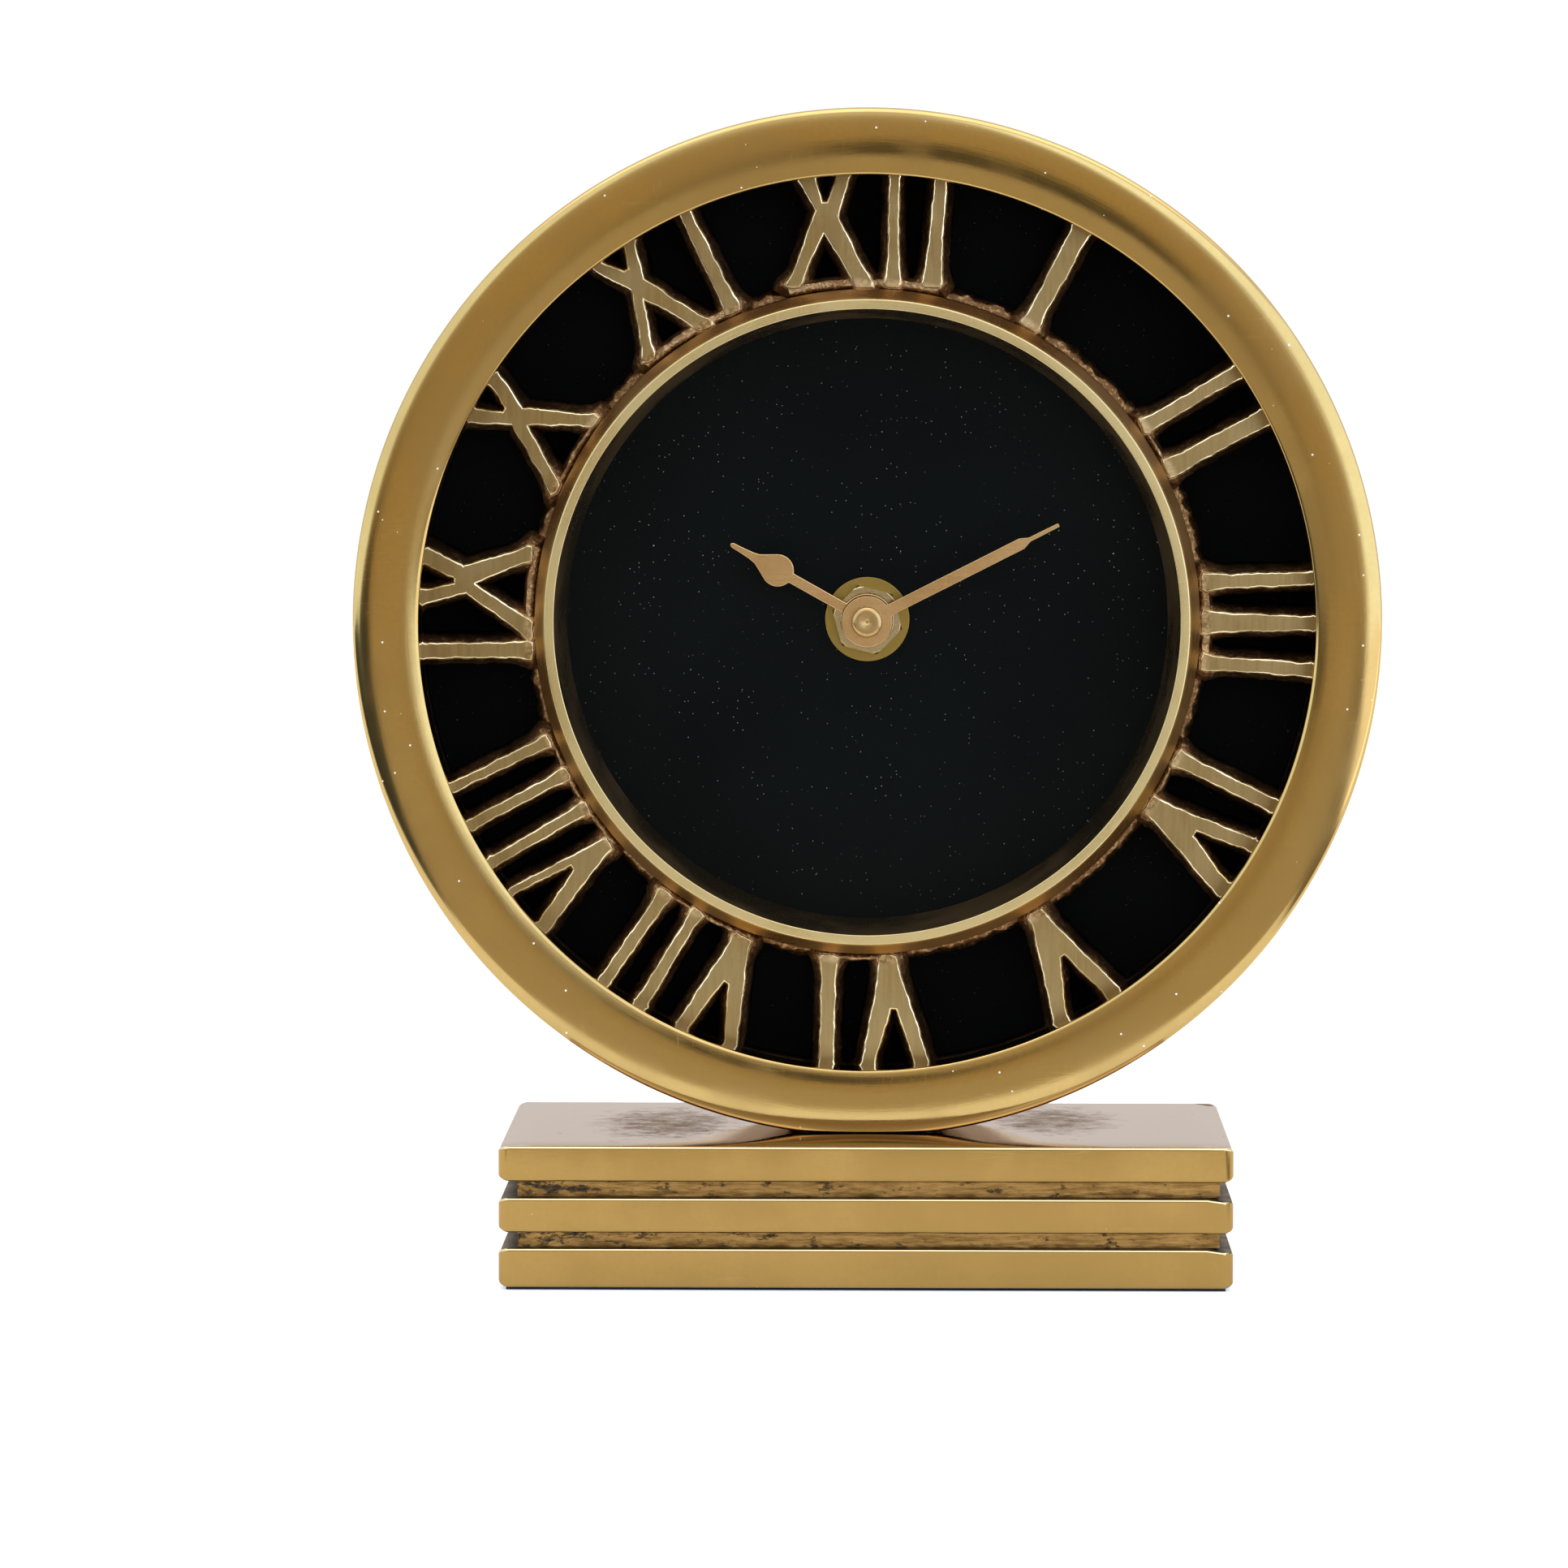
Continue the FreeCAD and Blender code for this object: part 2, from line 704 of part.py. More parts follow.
# Front and back of each wheel and pinion
hour_tube_front = 0.5
hour_wheel_y = (9.2, 10.0)
cannon_y = (10.7, 12.1)
arbor_back = 14.2
motion_pinion_y = (9.0, 11.0)
motion_wheel_y = (11.0, 11.8)
motion_pivot_front = 8.0
centre_wheel_y = (13.0, 13.8)
third_pinion_y = (12.6, 14.8)
third_wheel_y = (14.8, 15.5)
seconds_pinion_y = (14.5, 16.3)
seconds_wheel_y = (16.3, 17.0)
intermediate_pinion_y = (16.0, 17.8)
intermediate_wheel_y = (17.8, 18.5)
rotor_pinion_y = (17.4, 18.9)

# Radii of the shafts and of the setting knob
arbor_back_radius = 0.9
centre_wheel_bore = 0.98
motion_shaft_radius = 0.8
motion_shaft_hole = 0.88
knob_socket_depth = 0.8
knob_radius = 5.0
knob_groove_count = 20
knob_groove_circle = 5.3
knob_groove_radius = 0.55
rotor_sleeve_radius = 0.9


def half_step(teeth):
    return 180.0 / teeth


def shaft(place, y0, y1):
    return post(place[0], place[1], pivot_radius, y0, y1)


def make_hour_wheel():
    # The wheel and the tube that carries the hour hand.
    toward = bearing(hand_axis, motion_axis)[0]
    wheel = toothed(hand_axis, hour_wheel_teeth, motion_module, toward, *hour_wheel_y)
    pipe = post(0, 0, hour_tube_radius, hour_tube_front, hour_wheel_y[1])
    return wheel.fuse(pipe).cut(post(0, 0, hour_tube_bore, hour_tube_front - past, hour_wheel_y[1] + past))


def make_minute_arbor():
    # The arbor that carries the minute hand, with the cannon pinion near its back.
    toward = bearing(hand_axis, motion_axis)[0]
    pinion = toothed(hand_axis, cannon_teeth, motion_module, toward, *cannon_y)
    solid = post(0, 0, arbor_radius, minute_hand_front + hand_thickness, cannon_y[1])
    solid = solid.fuse(post(0, 0, arbor_seat_radius, minute_hand_front, arbor_step_y))
    solid = solid.fuse(post(0, 0, arbor_thread_radius, minute_hand_front - arbor_thread_length, arbor_step_y))
    return solid.fuse(pinion).fuse(post(0, 0, arbor_back_radius, cannon_y[1], arbor_back))


def make_motion_wheel():
    back = bearing(hand_axis, motion_axis)[1]
    wheel = toothed(motion_axis, motion_wheel_teeth, motion_module,
                    back + half_step(motion_wheel_teeth), *motion_wheel_y)
    pinion = toothed(motion_axis, motion_pinion_teeth, motion_module,
                     back + half_step(motion_pinion_teeth), *motion_pinion_y)
    x, z = motion_axis
    long_shaft = post(x, z, motion_shaft_radius, motion_pinion_y[0], knob_front + knob_socket_depth)
    pivot = shaft(motion_axis, motion_pivot_front, motion_pinion_y[0])
    return wheel.fuse(pinion).fuse(long_shaft).fuse(pivot)


def make_setting_knob():
    x, z = motion_axis
    knob = post(x, z, knob_radius, knob_front, knob_back)
    for k in range(knob_groove_count):
        dx, dz = polar(knob_groove_circle, 360.0 / knob_groove_count * k)
        knob = knob.cut(post(x + dx, z + dz, knob_groove_radius, knob_front - past, knob_back + past))
    return knob.cut(post(x, z, motion_shaft_radius, knob_front - past, knob_front + knob_socket_depth))


def make_centre_wheel():
    # Runs on the arbor's back end, and grips it only through its friction spring.
    toward = bearing(hand_axis, third_axis)[0]
    wheel = toothed(hand_axis, centre_wheel_teeth, fine_module, toward, *centre_wheel_y)
    return wheel.cut(post(0, 0, centre_wheel_bore, centre_wheel_y[0] - past, centre_wheel_y[1] + past))


def make_third_wheel():
    pinion_at = bearing(hand_axis, third_axis)[1] + half_step(third_pinion_teeth)
    wheel_at = bearing(third_axis, seconds_axis)[0]
    pinion = toothed(third_axis, third_pinion_teeth, fine_module, pinion_at, *third_pinion_y)
    wheel = toothed(third_axis, third_wheel_teeth, fine_module, wheel_at, *third_wheel_y)
    return wheel.fuse(pinion).fuse(shaft(third_axis, pivot_start, pivot_end))


def make_seconds_wheel():
    pinion_at = bearing(third_axis, seconds_axis)[1] + half_step(seconds_pinion_teeth)
    wheel_at = bearing(seconds_axis, intermediate_axis)[0]
    pinion = toothed(seconds_axis, seconds_pinion_teeth, fine_module, pinion_at, *seconds_pinion_y)
    wheel = toothed(seconds_axis, seconds_wheel_teeth, fine_module, wheel_at, *seconds_wheel_y)
    return wheel.fuse(pinion).fuse(shaft(seconds_axis, pivot_start, pivot_end))


def make_intermediate_wheel():
    pinion_at = bearing(seconds_axis, intermediate_axis)[1] + half_step(intermediate_pinion_teeth)
    wheel_at = bearing(intermediate_axis, rotor_axis)[0]
    pinion = toothed(intermediate_axis, intermediate_pinion_teeth, fine_module, pinion_at,
                     *intermediate_pinion_y)
    wheel = toothed(intermediate_axis, intermediate_wheel_teeth, fine_module, wheel_at, *intermediate_wheel_y)
    return wheel.fuse(pinion).fuse(shaft(intermediate_axis, pivot_start, pivot_end))


magnet_radius = 2.6
magnet_front = 12.0
magnet_back = 14.2


def make_rotor_pinion():
    x, z = rotor_axis
    pinion_at = bearing(intermediate_axis, rotor_axis)[1] + half_step(rotor_pinion_teeth)
    pinion = toothed(rotor_axis, rotor_pinion_teeth, fine_module, pinion_at, *rotor_pinion_y)
    solid = pinion.fuse(shaft(rotor_axis, pivot_start, pivot_end))
    return solid.fuse(post(x, z, rotor_sleeve_radius, magnet_front, rotor_pinion_y[0]))


def make_rotor_magnet():
    x, z = rotor_axis
    return tube(x, z, rotor_sleeve_radius, magnet_radius, magnet_front, magnet_back)


# The motor, the electronics and the battery
stator_front = 12.6
stator_back = 13.6
coil_x = 21.2
coil_low = 14.2
coil_high = 22.8
coil_y = (stator_front + stator_back) / 2
core_half = 1.4
stator_left = -3.5
stator_step = 2.5
stator_top = 26.3
stator_bottom = 11.0
stator_shoulder = 15.4
stator_window_left = 6.0
stator_gap = 0.5
coil_end_clearance = 0.1
bobbin_radius = 2.0
bobbin_cheek_radius = 3.6
bobbin_cheek = 0.5
winding_radius = 3.3


def make_stator():
    right = coil_x + core_half
    outline = [(stator_left, stator_shoulder), (stator_step, stator_shoulder), (stator_step, stator_bottom),
               (right, stator_bottom), (right, stator_top), (stator_left, stator_top)]
    solid = plate(outline, stator_front, stator_back)
    window = box(stator_window_left, coil_x - core_half, stator_front - past, stator_back + past,
                 coil_low - coil_end_clearance, coil_high + coil_end_clearance)
    x, z = rotor_axis
    hole = post(x, z, magnet_radius + stator_gap, stator_front - past, stator_back + past)
    return solid.cut(window).cut(hole)


def coil_disc(radius, z0, z1):
    return Part.makeCylinder(radius, z1 - z0, vec(coil_x, coil_y, axis_height + z0))


def make_coil_bobbin():
    solid = coil_disc(bobbin_radius, coil_low, coil_high)
    solid = solid.fuse(coil_disc(bobbin_cheek_radius, coil_low, coil_low + bobbin_cheek))
    solid = solid.fuse(coil_disc(bobbin_cheek_radius, coil_high - bobbin_cheek, coil_high))
    core = box(coil_x - core_half, coil_x + core_half, stator_front, stator_back,
               coil_low - past, coil_high + past)
    return solid.cut(core)


def make_coil_winding():
    winding = coil_disc(winding_radius, coil_low + bobbin_cheek, coil_high - bobbin_cheek)
    return winding.cut(coil_disc(bobbin_radius, coil_low, coil_high))


board_front = 10.5
board_back = 11.3
board_x = (12.5, 26.2)
board_z = (-10.0, 8.5)
board_hole = (19.0, -1.0)
board_hole_radius = 1.05
crystal_x = 16.0
crystal_z = 2.0
crystal_radius = 1.0
crystal_length = 6.0
crystal_lift = 0.05
lead_offset = 0.4
lead_radius = 0.15
lead_length = 1.2
lead_reach = 1.1
chip_place = (22.3, 2.5)
chip_radius = 2.4
chip_top_radius = 1.5
chip_height = 1.1


def make_circuit_board():
    board = box(board_x[0], board_x[1], board_front, board_back, board_z[0], board_z[1])
    x, z = board_hole
    return board.cut(post(x, z, board_hole_radius, board_front - past, board_back + past))


def make_quartz_crystal():
    # A can lying on the board, with two leads bent down into it.
    z0 = axis_height + crystal_z
    y0 = board_back + crystal_radius + crystal_lift
    can = Part.makeCylinder(crystal_radius, crystal_length, vec(crystal_x, y0, z0))
    for x in (crystal_x - lead_offset, crystal_x + lead_offset):
        lead = Part.makeCylinder(lead_radius, lead_length, vec(x, y0, z0 - lead_reach))
        drop = Part.makeCylinder(lead_radius, y0 - board_back, vec(x, board_back, z0 - lead_reach), y_axis)
        can = can.fuse(lead).fuse(drop)
    return can


def make_timing_chip():
    x, z = chip_place
    foot_point = vec(x, board_back, axis_height + z)
    return Part.makeCone(chip_radius, chip_top_radius, chip_height, foot_point, y_axis)


battery_radius = 7.1
battery_y = 15.85
battery_z = -19.5
battery_half = 24.6
battery_nub_radius = 2.7
battery_nub_length = 1.2
contact_thickness = 0.35
contact_y = (10.0, 19.0)
contact_half = 4.5
contact_tail_back = 12.0
contact_tail_gap = 1.5
spring_outer = (3.6, 1.8)
spring_inner = (2.9, 1.1)


def battery_disc(radius, x0, x1):
    return Part.makeCylinder(radius, x1 - x0, vec(x0, battery_y, axis_height + battery_z), vec(1, 0, 0))


def make_battery():
    return battery_disc(battery_radius, -battery_half, battery_half).fuse(
        battery_disc(battery_nub_radius, battery_half, battery_half + battery_nub_length))


def contact_strip(x0, x1):
    return box(x0, x1, contact_y[0], contact_y[1], battery_z - contact_half, battery_z + contact_half)


def make_positive_contact():
    inner = battery_half + battery_nub_length
    strip = contact_strip(inner, inner + contact_thickness)
    tail = box(inner, inner + contact_thickness, contact_y[0], contact_tail_back,
               battery_z + contact_half, bay_top - contact_tail_gap)
    return strip.fuse(tail)


def make_negative_contact():
    # A strip against the wall, with a cone spring bearing on the battery.
    outer = -case_half + case_wall
    strip = contact_strip(outer, outer + contact_thickness)
    start = vec(outer + contact_thickness, battery_y, axis_height + battery_z)
    gap = -battery_half - start.x
    spring = Part.makeCone(spring_outer[0], spring_outer[1], gap, start, vec(1, 0, 0))
    bore = Part.makeCone(spring_inner[0], spring_inner[1], gap, start, vec(1, 0, 0))
    return strip.fuse(spring.cut(bore))


# The case of the movement
bay_wall = 1.0
board_post_places = ((14.0, -8.5), (24.5, 7.0))
board_post_radius = 1.2
pivot_posts = (third_axis, seconds_axis, intermediate_axis, rotor_axis)


def case_block(inset, y0, y1):
    size = case_half - inset
    block = box(-size, size, y0, y1, -size, size)
    return with_round_corners(block, y_axis, case_corner - inset)


def make_movement_case():
    solid = case_block(0, movement_front, case_back)
    floor = movement_front + case_wall
    solid = solid.cut(case_block(case_wall, floor, case_back + past))
    size = case_half - case_wall
    solid = solid.fuse(box(-size, size, floor, case_back, bay_top - bay_wall, bay_top))
    for x, z in pivot_posts:
        solid = solid.fuse(post(x, z, post_radius, floor, post_back))
    for x, z in board_post_places:
        solid = solid.fuse(post(x, z, board_post_radius, floor, board_front))
    solid = solid.cut(post(0, 0, bushing_radius, movement_front - past, floor + past))
    solid = solid.cut(post(0, 0, bushing_flange_radius, floor - bushing_flange_thickness, floor + past))
    x, z = motion_axis
    hole_radius = pivot_radius + pivot_clearance
    solid = solid.cut(post(x, z, hole_radius, motion_pivot_front - pivot_end_clearance, floor + past))
    for x, z in pivot_posts:
        solid = solid.cut(post(x, z, hole_radius, pivot_start - pivot_end_clearance, post_back + past))
    return solid.removeSplitter()


def make_movement_cover():
    solid = case_block(0, case_back, cover_back)
    wide = case_half + past
    solid = solid.cut(box(-wide, wide, case_back - past, cover_back + past, -wide, bay_top - bay_wall))
    for x, z in pivot_posts:
        hole = post(x, z, pivot_radius + pivot_clearance, case_back - past, case_back + pivot_hole_depth)
        solid = solid.cut(hole)
    x, z = motion_axis
    return solid.cut(post(x, z, motion_shaft_hole, case_back - past, cover_back + past))


parts = {
    "rim": make_rim(),
    "numeral_ring": make_numeral_ring(),
    "numeral_backing": make_numeral_backing(),
    "dial_collar": make_dial_collar(),
    "dial_plate": make_dial_plate(),
    "back_plate": make_back_plate(),
    "back_plate_screws": make_back_plate_screws(),
    "base_top_slab": make_top_slab(),
    "base_upper_spacer": make_drilled(spacer(middle_slab_top, upper_groove_top)),
    "base_middle_slab": make_drilled(slab(lower_groove_top, middle_slab_top)),
    "base_lower_spacer": make_drilled(spacer(bottom_slab_top, lower_groove_top)),
    "base_bottom_slab": make_bottom_slab(),
    "base_pad": make_pad(),
    "base_screws": make_base_screws(),
    "ring_bolts": make_ring_bolts(),
    "ring_bolt_washers": make_ring_bolt_washers(),
    "dial_washer": make_dial_washer(),
    "hex_nut": make_hex_nut(),
    "rubber_washer": make_rubber_washer(),
    "threaded_bushing": make_bushing(),
    "hour_hand": make_hour_hand(),
    "minute_hand": make_minute_hand(),
    "hand_cap_nut": make_hand_cap_nut(),
    "hour_wheel": make_hour_wheel(),
    "minute_arbor": make_minute_arbor(),
    "motion_wheel": make_motion_wheel(),
    "setting_knob": make_setting_knob(),
    "centre_wheel": make_centre_wheel(),
    "third_wheel": make_third_wheel(),
    "seconds_wheel": make_seconds_wheel(),
    "intermediate_wheel": make_intermediate_wheel(),
    "rotor_pinion": make_rotor_pinion(),
    "rotor_magnet": make_rotor_magnet(),
    "stator": make_stator(),
    "coil_bobbin": make_coil_bobbin(),
    "coil_winding": make_coil_winding(),
    "circuit_board": make_circuit_board(),
    "quartz_crystal": make_quartz_crystal(),
    "timing_chip": make_timing_chip(),
    "battery": make_battery(),
    "positive_contact": make_positive_contact(),
    "negative_contact": make_negative_contact(),
    "movement_case": make_movement_case(),
    "movement_cover": make_movement_cover(),
}

os.makedirs("parts", exist_ok=True)
for name, shape in parts.items():
    shape.exportStep("parts/" + name + ".step")
    print(name, "solids", len(shape.Solids), "valid", shape.isValid(), "mm3", round(shape.Volume, 1))
print("height of the hand axis", axis_height)
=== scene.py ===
import json
import math
import bmesh
import bpy
from mathutils import Matrix, Vector, noise

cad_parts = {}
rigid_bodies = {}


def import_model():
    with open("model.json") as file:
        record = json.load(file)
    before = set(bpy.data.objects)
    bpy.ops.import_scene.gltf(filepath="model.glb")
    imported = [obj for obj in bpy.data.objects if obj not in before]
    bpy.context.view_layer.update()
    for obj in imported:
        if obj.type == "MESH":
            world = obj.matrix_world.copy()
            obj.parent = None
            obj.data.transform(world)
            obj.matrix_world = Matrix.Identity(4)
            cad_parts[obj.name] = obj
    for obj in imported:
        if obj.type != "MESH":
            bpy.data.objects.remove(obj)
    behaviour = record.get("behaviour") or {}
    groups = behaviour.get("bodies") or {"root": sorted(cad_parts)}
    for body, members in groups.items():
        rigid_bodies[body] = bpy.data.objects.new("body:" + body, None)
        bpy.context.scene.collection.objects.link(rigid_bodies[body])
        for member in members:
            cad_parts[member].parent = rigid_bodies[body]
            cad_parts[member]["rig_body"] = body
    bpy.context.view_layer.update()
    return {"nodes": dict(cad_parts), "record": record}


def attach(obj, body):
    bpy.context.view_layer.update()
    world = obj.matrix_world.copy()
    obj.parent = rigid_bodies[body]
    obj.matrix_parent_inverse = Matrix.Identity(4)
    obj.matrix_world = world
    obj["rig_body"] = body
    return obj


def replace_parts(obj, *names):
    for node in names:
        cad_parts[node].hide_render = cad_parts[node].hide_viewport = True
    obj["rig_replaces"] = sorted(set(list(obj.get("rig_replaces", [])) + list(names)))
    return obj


# Round brass desk clock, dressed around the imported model. Pieces are worked in
# millimetres and scaled to metres when they are finished.
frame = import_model()
scene = bpy.context.scene
metres = 0.001
axisHeight = 87.3
slotOf = {part["node"]: part["material_slot"] for part in frame["record"]["subparts"]}
print("frame loaded", len(slotOf), "nodes")


# Camera, where the photograph was taken from
cameraView = {"place": (5.18, -885.0, 133.88), "yaw": 1.058, "pitch": 4.428, "lens": 151.404}
cameraData = bpy.data.cameras.new("camera")
cameraData.lens = cameraView["lens"]
cameraData.sensor_width = 36.0
cameraData.clip_start = 0.01
camera = bpy.data.objects.new("camera", cameraData)
scene.collection.objects.link(camera)
camera.location = Vector(cameraView["place"]) * metres
camera.rotation_euler = (math.radians(90 - cameraView["pitch"]), 0, math.radians(cameraView["yaw"]))
scene.camera = camera
scene.view_settings.view_transform = "Standard"


# Small helpers for shader nodes
def addNode(tree, kind, settings=None, inputs=None):
    node = tree.nodes.new("ShaderNode" + kind)
    for key, value in (settings or {}).items():
        setattr(node, key, value)
    for key, value in (inputs or {}).items():
        if isinstance(value, bpy.types.NodeSocket):
            tree.links.new(value, node.inputs[key])
        else:
            node.inputs[key].default_value = value
    return node


def mathNode(tree, operation, first, second=0.0):
    return addNode(tree, "Math", {"operation": operation}, {0: first, 1: second}).outputs[0]


def times(tree, first, second):
    return mathNode(tree, "MULTIPLY", first, second)


def plus(tree, first, second):
    return mathNode(tree, "ADD", first, second)


def apart(tree, vector):
    # The three parts of a vector as sockets
    return addNode(tree, "SeparateXYZ", None, {0: vector}).outputs


def noiseValue(tree, place, scale, detail=2.0, rough=0.5, distortion=0.0):
    return addNode(tree, "TexNoise", None, {"Vector": place, "Scale": scale, "Detail": detail,
                                            "Roughness": rough, "Distortion": distortion}).outputs[0]


def ranged(tree, value, low, high, toLow=0.0, toHigh=1.0):
    node = addNode(tree, "MapRange", {"interpolation_type": "SMOOTHSTEP"},
                   {"Value": value, "From Min": low, "From Max": high, "To Min": toLow, "To Max": toHigh})
    return node.outputs[0]


def span(tree, value, low, high, edge):
    # One between low and high, with soft ends
    rise = ranged(tree, value, low - edge, low + edge)
    return times(tree, rise, ranged(tree, value, high - edge, high + edge, 1.0, 0.0))


def mixColour(tree, share, first, second, blend="MIX"):
    node = addNode(tree, "Mix", {"data_type": "RGBA", "blend_type": blend}, {0: share})
    for index, value in ((6, first), (7, second)):
        if isinstance(value, bpy.types.NodeSocket):
            tree.links.new(value, node.inputs[index])
        else:
            node.inputs[index].default_value = (*value, 1.0)
    return node.outputs[2]


def mixNumber(tree, share, first, second):
    return addNode(tree, "Mix", {"data_type": "FLOAT"}, {0: share, 2: first, 3: second}).outputs[0]


def stretched(tree, place, scale, turn=(0, 0, 0)):
    # A pattern drawn out along one way, for brush lines and scratches
    node = addNode(tree, "Mapping", None, {"Vector": place, "Scale": scale})
    node.inputs["Rotation"].default_value = [math.radians(angle) for angle in turn]
    return node.outputs[0]


def turnedPlace(tree, place):
    # Radius, way round and depth, for marks that follow a turned piece
    split = apart(tree, place)
    height = mathNode(tree, "SUBTRACT", split[2], axisHeight * metres)
    angle = mathNode(tree, "ARCTAN2", split[0], height)
    flat = addNode(tree, "CombineXYZ", None, {0: split[0], 1: height})
    radius = addNode(tree, "VectorMath", {"operation": "LENGTH"}, {0: flat.outputs[0]}).outputs["Value"]
    arc = times(tree, angle, 0.05)
    return addNode(tree, "CombineXYZ", None, {0: radius, 1: arc, 2: split[1]}).outputs[0]


def hairLines(tree, place, scale, width):
    # Thin curved lines where a drawn out noise crosses its middle
    value = noiseValue(tree, place, scale, 1.0)
    away = mathNode(tree, "ABSOLUTE", mathNode(tree, "SUBTRACT", value, 0.5))
    return ranged(tree, away, 0.0, width, 1.0, 0.0)


def specks(tree, place, scale, size, share):
    # Round dots of several sizes in a share of the cells
    cells = addNode(tree, "TexVoronoi", None, {"Vector": place, "Scale": scale})
    chance = addNode(tree, "SeparateColor", None, {0: cells.outputs["Color"]})
    shrink = ranged(tree, chance.outputs[1], 0.0, 1.0, 0.8, 2.8)
    away = times(tree, cells.outputs["Distance"], shrink)
    dot = ranged(tree, away, size * 0.5, size, 1.0, 0.0)
    return times(tree, dot, mathNode(tree, "GREATER_THAN", chance.outputs[0], 1.0 - share))


def startMaterial(name):
    material = bpy.data.materials.new(name)
    material.use_nodes = True
    tree = material.node_tree
    shader = tree.nodes["Principled BSDF"]
    place = addNode(tree, "TexCoord").outputs["Object"]
    return material, tree, shader, place


def useBump(tree, shader, height, depth):
    node = addNode(tree, "Bump", None, {"Height": height, "Distance": depth * metres, "Strength": 1.0})
    tree.links.new(node.outputs[0], shader.inputs["Normal"])


# Finishes
speckTint = (0.95, 0.9, 0.78)
brassFinish = {
    "polished_brass": {"dark": (0.49, 0.33, 0.118), "light": (0.58, 0.4, 0.144), "rough": (0.08, 0.14),
                       "turned": True, "grain": 0.0016, "lines": 0.25, "specks": 0.5},
    "base_brass": {"dark": (0.35, 0.213, 0.06), "light": (0.42, 0.262, 0.078), "rough": (0.1, 0.17),
                   "turned": False, "grain": 0.0016, "lines": 0.5, "specks": 0.4,
                   "upward": {"clean": (0.5, 0.4, 0.31), "stained": (0.2, 0.115, 0.06),
                              "glance": (0.74, 0.65, 0.56), "stainedGlance": (0.3, 0.2, 0.12),
                              "residue": ((0.2, 0.16, 0.11), (0.03, 0.025, 0.02)),
                              "grooveBelow": (0.0185, 0.019), "edgeLine": (0.72, 0.57, 0.3),
                              "spots": [(-0.027, 0.0, 0.015), (0.025, 0.004, 0.013)]}},
    "collar_brass": {"dark": (0.55, 0.42, 0.185), "light": (0.67, 0.53, 0.26), "rough": (0.24, 0.36),
                     "turned": True, "grain": 0.001, "lines": 0.3, "specks": 0.01,
                     "backward": (0.46, 0.3, 0.14), "backwardFrom": (-0.0057, -0.0053)},
    "hand_brass": {"dark": (0.52, 0.32, 0.14), "light": (0.66, 0.43, 0.2), "rough": (0.18, 0.28),
                   "turned": False, "grain": 0.005, "lines": 0.2, "specks": 0.02,
                   "bossLine": (0.00338, 0.00347), "bossDirt": (0.1, 0.05, 0.025)},
    "nut_brass": {"dark": (0.42, 0.35, 0.2), "light": (0.66, 0.58, 0.38), "rough": (0.1, 0.22),
                  "turned": False, "grain": 0.004, "lines": 0.2, "specks": 0.03},
    "washer_brass": {"dark": (0.235, 0.155, 0.035), "light": (0.335, 0.225, 0.055), "rough": (0.3, 0.42),
                     "turned": True, "grain": 0.004, "lines": 0.3, "specks": 0.03},
    "cap_brass": {"dark": (0.4, 0.265, 0.11), "light": (0.56, 0.38, 0.155), "rough": (0.2, 0.28),
                  "turned": True, "grain": 0.0012, "lines": 0.35, "specks": 0.02},
    "arbor_brass": {"dark": (0.62, 0.43, 0.15), "light": (0.75, 0.55, 0.22), "rough": (0.2, 0.3),
                    "turned": False, "grain": 0.003, "lines": 0.2, "specks": 0.02},
}


